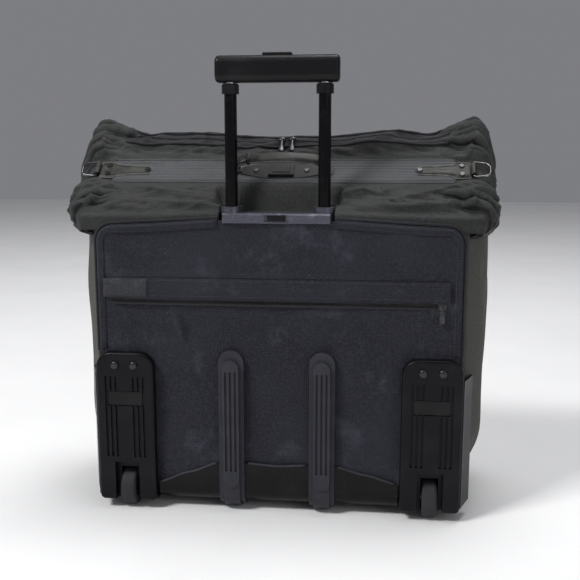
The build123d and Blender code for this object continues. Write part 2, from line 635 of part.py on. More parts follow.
GRIP_ROOM = (INNER_Z[1], 698.0)
with BuildPart() as grip:
    block((-GRIP_X, GRIP_X), (TUBE_Y - 15, TUBE_Y + 15), GRIP_Z)
    fillet(grip.edges().filter_by(Axis.X), radius=12)
    fillet(grip.faces().sort_by(Axis.X)[0].edges(), radius=6)
    fillet(grip.faces().sort_by(Axis.X)[-1].edges(), radius=6)
    block((-TUBE_X - 6, TUBE_X + 6), (TUBE_Y - 6, TUBE_Y + 6), GRIP_ROOM, Mode.SUBTRACT)
    block((-22.2, 22.2), (TUBE_Y - 6.2, TUBE_Y + 6.2), (GRIP_ROOM[0], FAR), Mode.SUBTRACT)
    for x in (-TUBE_X, TUBE_X):
        rod_z(x, TUBE_Y, (0, INNER_Z[1]), INNER_D / 2 + 0.01, Mode.SUBTRACT)
keep(grip, "grip")

BRIDGE_Z = (690.0, 694.0)
with BuildPart() as grip_button:
    block((-22, 22), (TUBE_Y - 6, TUBE_Y + 6), (BRIDGE_Z[1], GRIP_Z[1] + 4))
    fillet(grip_button.faces().sort_by(Axis.Z)[-1].edges(), radius=2)
keep(grip_button, "grip_button")

with BuildPart() as push_rods:
    block((-TUBE_X - 3, TUBE_X + 3), (TUBE_Y - 3, TUBE_Y + 3), BRIDGE_Z)
    for x in (-TUBE_X, TUBE_X):
        rod_z(x, TUBE_Y, (INNER_Z[0] + 10, BRIDGE_Z[0]), 2.5)
keep(push_rods, "push_rods")


# ---------------------------------------------------------------- inside the back half
with BuildPart() as rim_wire:
    with BuildLine(Plane.XZ.offset(-(BACK_RIM_Y - 5))) as hoop:
        FilletPolyline(
            (-SIDE_X + 8, RIM_TOP - 5),
            (-SIDE_X + 8, FLOOR_GAP + 8),
            (SIDE_X - 8, FLOOR_GAP + 8),
            (SIDE_X - 8, RIM_TOP - 5),
            radius=SOFT_CORNER - 8,
        )
    with BuildSketch(Plane(origin=hoop.line @ 0, z_dir=hoop.line % 0)):
        Circle(2)
    sweep(path=hoop.line)
keep(rim_wire, "rim_wire")

with BuildPart() as inner_lining:
    with BuildSketch(Plane.XZ.offset(63)):
        with Locations((0, (30 + RIM_TOP) / 2)):
            RectangleRounded(544, RIM_TOP - 30, 60)
    extrude(amount=-1.5)
keep(inner_lining, "inner_lining")


# ---------------------------------------------------------------- the slope and what is on it
def on_slope(h):
    """The slope's plane, raised by h."""
    return SLOPE.offset(h)


def plate(x_range, s_range, h_range, mode=Mode.ADD):
    """A flat piece on the slope, from h_range[0] to h_range[1] above it."""
    with BuildSketch(on_slope(h_range[0])) as base:
        with Locations(((x_range[0] + x_range[1]) / 2, (s_range[0] + s_range[1]) / 2)):
            Rectangle(x_range[1] - x_range[0], s_range[1] - s_range[0])
    extrude(base.sketch, amount=h_range[1] - h_range[0], mode=mode)


SLOPE_LEN = 176.0
with BuildPart() as upper_fold:
    plate((-FOLD_X, FOLD_X), (0, SLOPE_LEN), (-FOLD_T, 0))
    block((-FAR, FAR), (-FAR, FAR), (0, 462), Mode.SUBTRACT)
    block((-BEZEL_X - 6, BEZEL_X + 6), (-FAR, BEZEL_Y[1] + 2), (0, FAR), Mode.SUBTRACT)
    block((-FAR, FAR), (-FAR, BOARD_Y + BOARD_T), (0, PANEL_TOP + PANEL_CROWN), Mode.SUBTRACT)
    block((-FAR, FAR), (PART_Y - 3, FAR), (0, FAR), Mode.SUBTRACT)
keep(upper_fold, "upper_fold")

EAR_X = 330.0
EAR_TOP = 1.9
with BuildPart() as ears:
    for side in (-1, 1):
        with BuildSketch(Plane.YZ.offset(side * (FOLD_X + EAR_X) / 2)) as ear_profile:
            with BuildLine():
                Polyline(
                    (BOARD_Y + BOARD_T, PANEL_TOP - 5),
                    (PART_Y - 3, RIM_TOP + 1),
                    (PART_Y - 3, CREST_Z - 2),
                    (PART_Y - 12, CREST_Z - 2),
                    (BOARD_Y + BOARD_T, SLOPE_FOOT[1] + 5),
                    close=True,
                )
            make_face()
        extrude(amount=(EAR_X - FOLD_X - 0.2) / 2, both=True)
    plate((-FAR, FAR), (-50, 300), (EAR_TOP, 60), Mode.SUBTRACT)
keep(ears, "ears")

CREST_ZIP_X = 235.0
with BuildPart() as crest_zip:
    plate((-CREST_ZIP_X, CREST_ZIP_X), (154, SLOPE_LEN - 1), (0, 2))
keep(crest_zip, "crest_zip")

BAND_X = 286.0
with BuildPart() as handle_band:
    plate((-BAND_X, BAND_X), BAND_S, (0, BAND_T))
keep(handle_band, "handle_band")

TAB_TOP = 5.5
LOOP_X = 297.0
LOOP_H = 6.2
RING_WIRE = 1.75
TAB_RIVETS = [(215.0, MID_S), (279.0, MID_S - 9), (279.0, MID_S + 9)]
with BuildPart() as leather_tabs:
    for side in (-1, 1):
        with BuildSketch(on_slope(BAND_T)):
            with BuildLine():
                Polyline((side * 216, MID_S - 8.5), (side * 258, MID_S - 10), (side * 272, MID_S - 17))
                Line((side * 272, MID_S - 17), (side * 292, MID_S - 17))
                Line((side * 292, MID_S - 17), (side * 292, MID_S + 17))
                Line((side * 292, MID_S + 17), (side * 272, MID_S + 17))
                Polyline((side * 272, MID_S + 17), (side * 258, MID_S + 10), (side * 216, MID_S + 8.5))
                ThreePointArc(
                    (side * 216, MID_S + 8.5),
                    (side * 207.5, MID_S),
                    (side * 216, MID_S - 8.5),
                )
            make_face()
        extrude(amount=TAB_TOP - BAND_T)
        loop_plane = Plane(SLOPE.from_local_coords(Vector(side * LOOP_X, MID_S - 12, LOOP_H)), x_dir=(1, 0, 0),
                           z_dir=SLOPE.y_dir)
        with BuildSketch(loop_plane):
            Circle(RING_WIRE + 2.2)
            with Locations((-side * 5, 2.45)):
                Rectangle(8, 3.0)
        extrude(amount=24)
        with BuildSketch(loop_plane):
            Circle(RING_WIRE + FIT)
        extrude(amount=24, mode=Mode.SUBTRACT)
    with BuildSketch(on_slope(0)):
        with Locations(*both_sides(TAB_RIVETS)):
            Circle(2.02)
    extrude(amount=20, mode=Mode.SUBTRACT)
keep(leather_tabs, "leather_tabs")


def d_ring(side):
    """A D of round wire: its bar lies in the leather loop, its bow points outwards."""
    with BuildPart() as ring:
        with BuildLine(on_slope(LOOP_H)) as bow:
            FilletPolyline(
                (side * LOOP_X, MID_S + 16),
                (side * (LOOP_X + 25), MID_S + 12),
                (side * (LOOP_X + 25), MID_S - 12),
                (side * LOOP_X, MID_S - 16),
                radius=[3.5, 10, 10, 3.5],
                close=True,
            )
        with BuildSketch(Plane(origin=bow.line @ 0, z_dir=bow.line % 0)):
            Circle(RING_WIRE)
        sweep(path=bow.line)
    return ring


for side, name in ((1, "d_ring_right"), (-1, "d_ring_left")):
    keep(d_ring(side), name)

PLATE_T = 4.0
PIN_H = 9.6
HANDLE_X = 66.0
PLATE_RIVETS = [(40.0, MID_S)]
with BuildPart() as base_plate:
    with BuildSketch(on_slope(BAND_T)):
        with BuildLine():
            ThreePointArc((-80, MID_S), (0, MID_S - 18), (80, MID_S))
            ThreePointArc((80, MID_S), (0, MID_S + 18), (-80, MID_S))
        make_face()
        with Locations((-74, MID_S), (74, MID_S)):
            RectangleRounded(16, 18, 4)
    extrude(amount=PLATE_T - BAND_T)
    for side in (-1, 1):
        plate(
            (min(side * 73, side * 77), max(side * 73, side * 77)),
            (MID_S - 4.5, MID_S + 4.5),
            (PLATE_T, PIN_H + 4),
        )
        pin_axis = SLOPE.from_local_coords(Vector(0, MID_S, PIN_H))
        rod_x((-78, 78), pin_axis.Y, pin_axis.Z, 2 + FIT, Mode.SUBTRACT)
    with BuildSketch(on_slope(0)):
        with Locations(*both_sides(PLATE_RIVETS)):
            Circle(2.02)
    extrude(amount=20, mode=Mode.SUBTRACT)
keep(base_plate, "base_plate")

with BuildPart() as handle_rivets:
    for points, surface in ((both_sides(TAB_RIVETS), TAB_TOP), (both_sides(PLATE_RIVETS), PLATE_T)):
        with BuildSketch(on_slope(surface)):
            with Locations(*points):
                Circle(4.4)
        extrude(amount=1.8, taper=25)
        with BuildSketch(on_slope(surface)):
            with Locations(*points):
                Circle(2)
        extrude(amount=-1.9)
keep(handle_rivets, "handle_rivets")

with BuildPart() as catch_frame:
    plate((-20, 20), (MID_S - 12, MID_S + 12), (PLATE_T, PLATE_T + 3.5))
    plate((-14.5, 14.5), (MID_S - 7.5, MID_S + 7.5), (PLATE_T, PLATE_T + 4), Mode.SUBTRACT)
keep(catch_frame, "catch_frame")

with BuildPart() as catch_button:
    plate((-14.2, 14.2), (MID_S - 7.2, MID_S + 7.2), (PLATE_T + 1.6, PLATE_T + 4.2))
keep(catch_button, "catch_button")

ARCH_H = 33.0
with BuildPart() as carry_handle:
    handle_plane = Plane(
        origin=SLOPE.from_local_coords(Vector(0, MID_S, 0)), x_dir=(1, 0, 0), z_dir=-SLOPE.y_dir
    )
    with BuildSketch(handle_plane.offset(-9)):
        with BuildLine():
            Line((-HANDLE_X - 4, PIN_H), (-HANDLE_X - 4, PIN_H + 2))
            ThreePointArc((-HANDLE_X - 4, PIN_H + 2), (-HANDLE_X + 6, ARCH_H - 7), (-HANDLE_X + 26, ARCH_H))
            ThreePointArc((-HANDLE_X + 26, ARCH_H), (0, ARCH_H + 4), (HANDLE_X - 26, ARCH_H))
            ThreePointArc((HANDLE_X - 26, ARCH_H), (HANDLE_X - 6, ARCH_H - 7), (HANDLE_X + 4, PIN_H + 2))
            Line((HANDLE_X + 4, PIN_H + 2), (HANDLE_X + 4, PIN_H))
            Line((HANDLE_X + 4, PIN_H), (HANDLE_X - 5, PIN_H))
            ThreePointArc((HANDLE_X - 5, PIN_H), (HANDLE_X - 12, ARCH_H - 13), (HANDLE_X - 30, ARCH_H - 8))
            ThreePointArc((HANDLE_X - 30, ARCH_H - 8), (0, ARCH_H - 5), (-HANDLE_X + 30, ARCH_H - 8))
            ThreePointArc((-HANDLE_X + 30, ARCH_H - 8), (-HANDLE_X + 12, ARCH_H - 13), (-HANDLE_X + 5, PIN_H))
            Line((-HANDLE_X + 5, PIN_H), (-HANDLE_X - 4, PIN_H))
        make_face()
    extrude(amount=18)
    for side in (-1, 1):
        plate(
            (min(side * 60, side * 72), max(side * 60, side * 72)), (MID_S - 20, MID_S - 5), (0, 17), Mode.SUBTRACT
        )
        plate(
            (min(side * 60, side * 72), max(side * 60, side * 72)), (MID_S + 5, MID_S + 20), (0, 17), Mode.SUBTRACT
        )
        rod_x((min(side * 61, side * 71), max(side * 61, side * 71)), pin_axis.Y, pin_axis.Z, 5)
        rod_x((min(side * 61, side * 77), max(side * 61, side * 77)), pin_axis.Y, pin_axis.Z, 2)
keep(carry_handle, "carry_handle")

with BuildPart() as hanger_bracket:
    plate((-32, 32), (118, 158), (-FOLD_T - 3, -FOLD_T))
    plate((-32, -28), (130, 146), (-FOLD_T - 33, -FOLD_T - 3))
    plate((28, 32), (130, 146), (-FOLD_T - 33, -FOLD_T - 3))
    bar_axis = SLOPE.from_local_coords(Vector(0, 138, -FOLD_T - 28))
    rod_x((-28, 28), bar_axis.Y, bar_axis.Z, 3)
keep(hanger_bracket, "hanger_bracket")
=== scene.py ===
"""Cloth, leather, zips, materials, light and camera for the wheeled garment bag.

Everything is in metres, in the frame's own axes: -Y is the wheel and handle side, +Z is up.
"""

import math

import bmesh
import bpy
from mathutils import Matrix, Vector, noise


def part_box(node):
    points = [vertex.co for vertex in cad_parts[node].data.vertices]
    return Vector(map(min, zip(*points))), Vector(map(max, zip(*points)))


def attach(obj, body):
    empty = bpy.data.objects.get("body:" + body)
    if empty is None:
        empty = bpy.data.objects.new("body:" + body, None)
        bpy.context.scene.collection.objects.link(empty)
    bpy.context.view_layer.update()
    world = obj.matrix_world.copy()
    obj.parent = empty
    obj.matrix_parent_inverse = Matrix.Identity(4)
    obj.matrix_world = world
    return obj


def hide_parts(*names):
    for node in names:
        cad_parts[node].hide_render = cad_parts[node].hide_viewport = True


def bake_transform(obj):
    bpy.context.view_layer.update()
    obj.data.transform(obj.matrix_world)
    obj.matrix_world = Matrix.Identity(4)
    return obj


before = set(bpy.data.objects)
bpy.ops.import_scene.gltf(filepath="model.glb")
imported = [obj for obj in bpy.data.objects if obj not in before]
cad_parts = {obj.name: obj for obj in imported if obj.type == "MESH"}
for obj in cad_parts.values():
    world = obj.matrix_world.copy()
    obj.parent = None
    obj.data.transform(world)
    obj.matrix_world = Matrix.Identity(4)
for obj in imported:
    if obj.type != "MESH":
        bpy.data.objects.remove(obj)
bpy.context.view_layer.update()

# ---- places taken from the frame
PANEL_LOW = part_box("back_panel")[0]
PIPING_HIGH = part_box("piping")[1]
EARS_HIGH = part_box("ears")[1]
RIM_BACK_LOW, RIM_BACK_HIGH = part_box("main_zip_back")
RIM_FRONT_LOW, RIM_FRONT_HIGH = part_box("main_zip_front")
FRONT_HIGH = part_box("front_panel")[1]
POCKET_LOW, POCKET_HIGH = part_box("front_pocket")
FLAP_LOW, FLAP_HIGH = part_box("pocket_flap")
HOUSING_LOW, HOUSING_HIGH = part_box("housing_right")
LINING_LOW, LINING_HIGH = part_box("inner_lining")

BACK_Y = PANEL_LOW[1]
RIM_Y = RIM_BACK_LOW[1]
SIDE_X = RIM_BACK_HIGH[0]
FLOOR_GAP = RIM_BACK_LOW[2]
RIM_TOP = RIM_BACK_HIGH[2]
FRONT_RIM_Y = RIM_FRONT_HIGH[1]
FRONT_Y = FRONT_HIGH[1]
PANEL_X = PIPING_HIGH[0]
PANEL_TOP = 0.461
BEZEL_HALF = 0.088
FLAP_Z = 0.359
SOFT_CORNER = 0.126
BAG_MIDDLE_Z = 0.30
TOP_HALF = 0.290
FRONT_TOP = 0.590
FRONT_ZIP_TOP = 0.53
OUTWARD = Vector((0, -1, 0))
ACROSS = Vector((1, 0, 0))
SIDES = ((-1, "left"), (1, "right"))

# the slope from the panel's top to the crest
SLOPE_FOOT = Vector((0, BACK_Y + 0.006, 0.470))
SLOPE_ANGLE = math.atan2(0.125, 0.132)
UP_SLOPE = Vector((0, math.cos(SLOPE_ANGLE), math.sin(SLOPE_ANGLE)))
OFF_SLOPE = Vector((0, -math.sin(SLOPE_ANGLE), math.cos(SLOPE_ANGLE)))
SLOPE_LEN = 0.181
MID_S = 0.095
BAND_S = (0.069, 0.121)
CREST_S = (0.150, 0.176)
EAR_START = 0.215
EAR_END = 0.322
FOLD_BACK_Y = 0.0185


def on_slope(x, s, h):
    """A point at x, s up the slope and h off it."""
    return Vector((x, 0, 0)) + SLOPE_FOOT + UP_SLOPE * s + OFF_SLOPE * h


def smooth(t):
    t = min(1.0, max(0.0, t))
    return t * t * (3 - 2 * t)


def mix(a, b, t):
    return a + (b - a) * t


def rough_noise(x, y, z=0.0):
    """Smooth noise between -1 and 1."""
    return noise.noise(Vector((x, y, z)))


def ridge(value):
    """A soft pleat profile: narrow crests, wide valleys."""
    return 1.0 - abs(value) ** 0.7


# ---- node materials
def new_material(name, color, rough, metallic=0.0):
    mat = bpy.data.materials.new(name)
    mat.use_nodes = True
    tree = mat.node_tree
    shader = tree.nodes["Principled BSDF"]
    shader.inputs["Base Color"].default_value = (*color, 1)
    shader.inputs["Roughness"].default_value = rough
    shader.inputs["Metallic"].default_value = metallic
    return mat, tree, shader


def node(tree, kind, inputs=None, **settings):
    made = tree.nodes.new(kind)
    for key, value in settings.items():
        setattr(made, key, value)
    for key, value in (inputs or {}).items():
        if isinstance(value, bpy.types.NodeSocket):
            tree.links.new(value, made.inputs[key])
        else:
            made.inputs[key].default_value = value
    return made


def place(tree):
    return node(tree, "ShaderNodeTexCoord").outputs["Object"]


def noise_value(tree, where, scale, detail=3.0, roughness=0.55):
    made = node(tree, "ShaderNodeTexNoise", {"Vector": where, "Scale": scale, "Detail": detail})
    made.inputs["Roughness"].default_value = roughness
    return made.outputs["Fac"]


def ramp(tree, value, low, high):
    """A grey that runs between two (position, level) stops."""
    made = node(tree, "ShaderNodeValToRGB", {"Fac": value})
    for element, (position, level) in zip(made.color_ramp.elements, (low, high)):
        element.position = position
        element.color = (level, level, level, 1)
    return made.outputs["Color"]


def blend_colors(tree, factor, low, high):
    made = node(tree, "ShaderNodeMix", data_type="RGBA")
    for socket, value in ((0, factor), (6, low), (7, high)):
        if isinstance(value, bpy.types.NodeSocket):
            tree.links.new(value, made.inputs[socket])
        elif socket == 0:
            made.inputs[socket].default_value = value
        else:
            made.inputs[socket].default_value = (*value, 1)
    return made.outputs[2]


def thread_pattern(tree, where, pitch):
    """An even over-and-under pattern that lies the same way on a face turned to any side."""
    scaled = node(tree, "ShaderNodeVectorMath", {0: where}, operation="SCALE")
    scaled.inputs["Scale"].default_value = 2 * math.pi / pitch
    sines = node(tree, "ShaderNodeVectorMath", {0: scaled.outputs[0]}, operation="SINE")
    cosines = node(tree, "ShaderNodeVectorMath", {0: scaled.outputs[0]}, operation="COSINE")
    parts = node(tree, "ShaderNodeSeparateXYZ", {0: cosines.outputs[0]})
    turned = node(tree, "ShaderNodeCombineXYZ",
                  {0: parts.outputs[1], 1: parts.outputs[2], 2: parts.outputs[0]})
    product = node(tree, "ShaderNodeVectorMath", {0: sines.outputs[0], 1: turned.outputs[0]},
                   operation="DOT_PRODUCT")
    return node(tree, "ShaderNodeMapRange", {"Value": product.outputs["Value"], "From Min": -1.2,
                                             "From Max": 1.2}).outputs["Result"]


def add_bump(tree, shader, height, distance, strength=1.0, before=None):
    made = node(tree, "ShaderNodeBump", {"Height": height, "Distance": distance, "Strength": strength})
    if before is not None:
        tree.links.new(before, made.inputs["Normal"])
    tree.links.new(made.outputs["Normal"], shader.inputs["Normal"])
    return made.outputs["Normal"]


def fabric(name, dark, light, pitch=0.0022, rough=0.78, sheen=0.06, dust=0.35, tint=None, patch=5.0):
    """Woven cloth: threads, uneven fading, lint and dust specks."""
    mat, tree, shader = new_material(name, dark, rough)
    where = place(tree)
    threads = thread_pattern(tree, where, pitch)
    fading = noise_value(tree, where, patch, 5.0, 0.6)
    slubs = ramp(tree, noise_value(tree, where, 310.0, 2.0), (0.44, 0.0), (0.64, 0.6))
    cloth = blend_colors(tree, slubs, blend_colors(tree, threads, dark, light), tint or light)
    faded = blend_colors(tree, ramp(tree, fading, (0.38, 0.0), (0.72, 0.6)), cloth,
                         tint or tuple(c * 1.55 for c in light))
    smudges = ramp(tree, noise_value(tree, where, 15.0, 5.0, 0.7), (0.56, 0.0), (0.78, dust))
    faded = blend_colors(tree, smudges, faded, tuple(2.4 * c for c in (tint or light)))
    specks = node(tree, "ShaderNodeTexVoronoi", {"Vector": where, "Scale": 130.0, "Randomness": 1.0})
    lint = ramp(tree, specks.outputs["Distance"], (0.05, 1.0), (0.10, 0.0))
    where_dusty = ramp(tree, noise_value(tree, where, 9.0, 4.0), (0.50, 0.0), (0.70, dust))
    dusty = node(tree, "ShaderNodeMath", {0: lint, 1: where_dusty}, operation="MULTIPLY").outputs[0]
    color = blend_colors(tree, dusty, faded, (0.30, 0.30, 0.29))
    tree.links.new(color, shader.inputs["Base Color"])
    wear = ramp(tree, fading, (0.3, rough - 0.08), (0.8, min(1.0, rough + 0.1)))
    tree.links.new(wear, shader.inputs["Roughness"])
    crumple = noise_value(tree, where, 38.0, 4.0, 0.6)
    first = add_bump(tree, shader, crumple, 0.0016, 0.55)
    add_bump(tree, shader, threads, 0.00045, 0.8, before=first)
    shader.inputs["Sheen Weight"].default_value = sheen
    shader.inputs["Sheen Roughness"].default_value = 0.45
    shader.inputs["Specular IOR Level"].default_value = 0.25
    return mat


def leather(name, dark, light, rough=0.45):
    """Black leather: pebbled grain, rubbed lighter in patches."""
    mat, tree, shader = new_material(name, dark, rough)
    where = place(tree)
    rubbed = ramp(tree, noise_value(tree, where, 55.0, 6.0, 0.65), (0.42, 0.0), (0.66, 1.0))
    tree.links.new(blend_colors(tree, rubbed, dark, light), shader.inputs["Base Color"])
    grain = node(tree, "ShaderNodeTexVoronoi", {"Vector": where, "Scale": 900.0}, feature="SMOOTH_F1")
    first = add_bump(tree, shader, noise_value(tree, where, 120.0, 4.0), 0.0008, 0.5)
    add_bump(tree, shader, grain.outputs["Distance"], 0.0003, 0.7, before=first)
    tree.links.new(ramp(tree, rubbed, (0.0, rough - 0.1), (1.0, rough + 0.15)),
                   shader.inputs["Roughness"])
    shader.inputs["Specular IOR Level"].default_value = 0.3
    return mat


def plastic(name, dark, worn, rough=0.4, grain=700.0, scuffs=0.5, coat=0.0):
    """Moulded plastic: spark-eroded grain, long scuffs and rubbed patches."""
    mat, tree, shader = new_material(name, dark, rough)
    where = place(tree)
    stretched = node(tree, "ShaderNodeMapping", {"Vector": where})
    stretched.inputs["Scale"].default_value = (1.0, 1.0, 0.18)
    stretched.inputs["Rotation"].default_value = (0.3, 0.5, 0.0)
    lines = ramp(tree, noise_value(tree, stretched.outputs[0], 150.0, 7.0, 0.75),
                 (0.62, 0.0), (0.74, scuffs))
    patches = ramp(tree, noise_value(tree, where, 24.0, 4.0), (0.45, 0.0), (0.80, 0.22))
    marks = node(tree, "ShaderNodeMath", {0: lines, 1: patches}, operation="MAXIMUM").outputs[0]
    tree.links.new(blend_colors(tree, marks, dark, worn), shader.inputs["Base Color"])
    tree.links.new(ramp(tree, marks, (0.0, rough), (0.6, min(1.0, rough + 0.25))),
                   shader.inputs["Roughness"])
    first = add_bump(tree, shader, noise_value(tree, where, grain, 3.0), 0.0002, 0.5)
    add_bump(tree, shader, lines, 0.0002, 0.4, before=first)
    shader.inputs["Specular IOR Level"].default_value = 0.16
    shader.inputs["Coat Weight"].default_value = coat
    shader.inputs["Coat Roughness"].default_value = 0.12
    return mat


def metal(name, color, worn, rough=0.32, metallic=1.0, brush=(1.0, 1.0, 0.05)):
    """Metal with a drawn or brushed finish and small marks."""
    mat, tree, shader = new_material(name, color, rough, metallic)
    where = place(tree)
    drawn = node(tree, "ShaderNodeMapping", {"Vector": where})
    drawn.inputs["Scale"].default_value = brush
    lines = noise_value(tree, drawn.outputs[0], 900.0, 4.0, 0.7)
    marks = ramp(tree, noise_value(tree, where, 60.0, 6.0, 0.7), (0.55, 0.0), (0.75, 0.8))
    tree.links.new(blend_colors(tree, marks, color, worn), shader.inputs["Base Color"])
    tree.links.new(ramp(tree, lines, (0.2, max(0.05, rough - 0.1)), (0.8, rough + 0.12)),
                   shader.inputs["Roughness"])
    add_bump(tree, shader, lines, 0.00008, 0.5)
    return mat


NYLON = fabric("panel_nylon", (0.0035, 0.0037, 0.0070), (0.0150, 0.0158, 0.0250), pitch=0.0032, dust=0.6,
               tint=(0.030, 0.031, 0.042))
NYLON_SOFT = fabric("fold_nylon", (0.0065, 0.0070, 0.0080), (0.019, 0.020, 0.0215), rough=0.60,
                    tint=(0.038, 0.039, 0.037), patch=7.0)
NYLON_SIDE = fabric("side_nylon", (0.020, 0.020, 0.018), (0.050, 0.049, 0.043), tint=(0.078, 0.076, 0.064))
LINING_CLOTH = fabric("lining_cloth", (0.05, 0.05, 0.055), (0.085, 0.085, 0.09), pitch=0.0012, rough=0.6,
                      dust=0.0)
WEBBING = fabric("webbing", (0.007, 0.0073, 0.0085), (0.078, 0.082, 0.088), pitch=0.0040, rough=0.72,
                 tint=(0.082, 0.086, 0.091))
PIPING_CLOTH = fabric("piping_cloth", (0.005, 0.005, 0.007), (0.016, 0.0165, 0.021), pitch=0.0015,
                      rough=0.6)
PATCH_NYLON = fabric("patch_nylon", (0.008, 0.0085, 0.012), (0.030, 0.031, 0.038), dust=0.8,
                     tint=(0.050, 0.052, 0.060), patch=40.0)
THREAD = fabric("thread", (0.022, 0.022, 0.027), (0.055, 0.055, 0.062), pitch=0.001, rough=0.6, dust=0.0)
LEATHER = leather("leather", (0.010, 0.010, 0.009), (0.046, 0.046, 0.038), rough=0.5)
LEATHER_EDGE = leather("leather_edge", (0.05, 0.05, 0.045), (0.15, 0.15, 0.13), rough=0.5)
HOUSING_PLASTIC = plastic("housing_plastic", (0.0035, 0.0035, 0.0050), (0.034, 0.035, 0.044), rough=0.36)
SKID_PLASTIC = plastic("skid_plastic", (0.031, 0.0315, 0.039), (0.100, 0.100, 0.115), rough=0.48,
                       scuffs=0.35)
SMOOTH_PLASTIC = plastic("smooth_plastic", (0.008, 0.008, 0.009), (0.045, 0.045, 0.048), rough=0.34)
KICK_VINYL = plastic("kick_vinyl", (0.0030, 0.0030, 0.0035), (0.030, 0.030, 0.032), rough=0.22, grain=320.0,
                     scuffs=0.5, coat=0.02)
BOARD = plastic("board", (0.10, 0.10, 0.10), (0.16, 0.16, 0.16), rough=0.6)
TYRE = plastic("tyre", (0.030, 0.030, 0.033), (0.11, 0.11, 0.115), rough=0.6, scuffs=0.6)
RUBBER = plastic("rubber", (0.02, 0.02, 0.02), (0.06, 0.06, 0.06), rough=0.75)
# Bezel: grey metal of its own colour; the blue tint in its colour is a painted bluish reflection.
BEZEL_METAL_PAINTED_BLUE_REFLECTION = metal("bezel_metal", (0.110, 0.110, 0.140), (0.30, 0.30, 0.33), rough=0.30, metallic=0.75,
                    brush=(0.05, 1.0, 1.0))
TUBE_BLACK = metal("tube_black", (0.006, 0.006, 0.007), (0.03, 0.03, 0.033), rough=0.13, metallic=0.6)
ALUMINIUM = metal("aluminium", (0.62, 0.62, 0.64), (0.5, 0.5, 0.5), rough=0.25)
STEEL = metal("steel", (0.40, 0.40, 0.41), (0.55, 0.55, 0.55), rough=0.25)
DARK_STEEL = metal("dark_steel", (0.10, 0.10, 0.105), (0.35, 0.35, 0.35), rough=0.28)
RIVET = metal("rivet", (0.045, 0.045, 0.050), (0.16, 0.16, 0.16), rough=0.30, metallic=0.9)
ZIP = plastic("zip", (0.012, 0.012, 0.013), (0.07, 0.07, 0.07), rough=0.4)
ZIP_TAPE = fabric("zip_tape", (0.010, 0.010, 0.012), (0.030, 0.030, 0.034), pitch=0.0014, dust=0.1)

CAD_LOOKS = {
    PIPING_CLOTH: ["piping"],
    HOUSING_PLASTIC: ["housing_left", "housing_right"],
    SKID_PLASTIC: ["skids"],
    SMOOTH_PLASTIC: ["bezel_button", "catch_frame", "catch_button", "base_plate", "tube_bushes",
                     "mid_collars", "bottom_bracket", "grip", "grip_button", "housing_badges",
                     "hanger_bracket", "hub_left", "hub_right"],
    KICK_VINYL: ["kick_plate"],
    BOARD: ["back_board"],
    TYRE: ["tyre_left", "tyre_right"],
    RUBBER: ["front_feet"],
    BEZEL_METAL_PAINTED_BLUE_REFLECTION: ["bezel"],
    TUBE_BLACK: ["mid_tube_left", "mid_tube_right"],
    ALUMINIUM: ["outer_tubes", "inner_tubes"],
    STEEL: ["wheel_axles", "bearings_left", "bearings_right", "push_rods", "rim_wire"],
    DARK_STEEL: ["d_ring_left", "d_ring_right", "frame_screws"],
    RIVET: ["housing_rivets", "handle_rivets", "pocket_slider", "pocket_pull"],
    ZIP_TAPE: ["main_zip_back", "main_zip_front"],
}


def dress_cad_nodes():
    """Give each CAD piece that stays visible its material."""
    for mat, names in CAD_LOOKS.items():
        for name in names:
            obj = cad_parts[name]
            obj.data.materials.clear()
            obj.data.materials.append(mat)


# ---- mesh makers
def make_object(name, verts, faces, mat, replaced=(), thickness=0.0, body="back_half"):
    """A smooth mesh on a body; a positive thickness grows inwards and a negative one outwards."""
    mesh = bpy.data.meshes.new(name)
    mesh.from_pydata([tuple(v) for v in verts], [], faces)
    mesh.validate()
    work = bmesh.new()
    work.from_mesh(mesh)
    bmesh.ops.remove_doubles(work, verts=work.verts, dist=1e-6)
    bmesh.ops.recalc_face_normals(work, faces=work.faces)
    work.to_mesh(mesh)
    work.free()
    for face in mesh.polygons:
        face.use_smooth = True
    obj = bpy.data.objects.new(name, mesh)
    bpy.context.collection.objects.link(obj)
    obj.data.materials.append(mat)
    if thickness:
        solid = obj.modifiers.new("thickness", "SOLIDIFY")
        solid.thickness = abs(thickness)
        solid.offset = -1 if thickness > 0 else 1
        solid.use_even_offset = False
    if body:
        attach(obj, body)
    if replaced:
        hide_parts(*replaced)
    return obj


def grid_faces(rows, columns, wrap=False):
    """Quads over a grid of points stored row after row."""
    faces = []
    for i in range(rows - 1):
        for j in range(columns if wrap else columns - 1):
            k = (j + 1) % columns
            faces.append((i * columns + j, i * columns + k, (i + 1) * columns + k, (i + 1) * columns + j))
    return faces


def sheet_piece(name, point, rows, columns, mat, replaced=(), thickness=0.0, keep_face=None,
                wrap=False, body="back_half"):
    """A sheet from point(i / rows, j / columns); keep_face drops quads where it says no."""
    last = columns if wrap else columns - 1
    verts = [point(i / (rows - 1), j / last) for i in range(rows) for j in range(columns)]
    faces = grid_faces(rows, columns, wrap)
    if keep_face:
        faces = [f for f in faces if keep_face(sum((verts[k] for k in f), Vector()) / 4)]
    return make_object(name, verts, faces, mat, replaced, thickness, body=body)


def tube_piece(name, path, radius, mat, closed=False, sides=10, body="back_half"):
    """A round cord along a path of points, with closed ends."""
    verts, faces = [], []
    count = len(path)
    for i, here in enumerate(path):
        before = path[i - 1] if i or closed else path[0]
        after = path[(i + 1) % count] if i < count - 1 or closed else path[-1]
        along = (after - before).normalized()
        side = along.cross(Vector((0, 1, 0.02))).normalized()
        other = along.cross(side)
        for k in range(sides):
            turn = 2 * math.pi * k / sides
            verts.append(here + (side * math.cos(turn) + other * math.sin(turn)) * radius)
    rings = count if closed else count - 1
    for i in range(rings):
        for k in range(sides):
            a, b = i * sides, ((i + 1) % count) * sides
            faces.append((a + k, a + (k + 1) % sides, b + (k + 1) % sides, b + k))
    if not closed:
        faces.append(tuple(range(sides)))
        faces.append(tuple((count - 1) * sides + k for k in range(sides)))
    return make_object(name, verts, faces, mat, body=body)


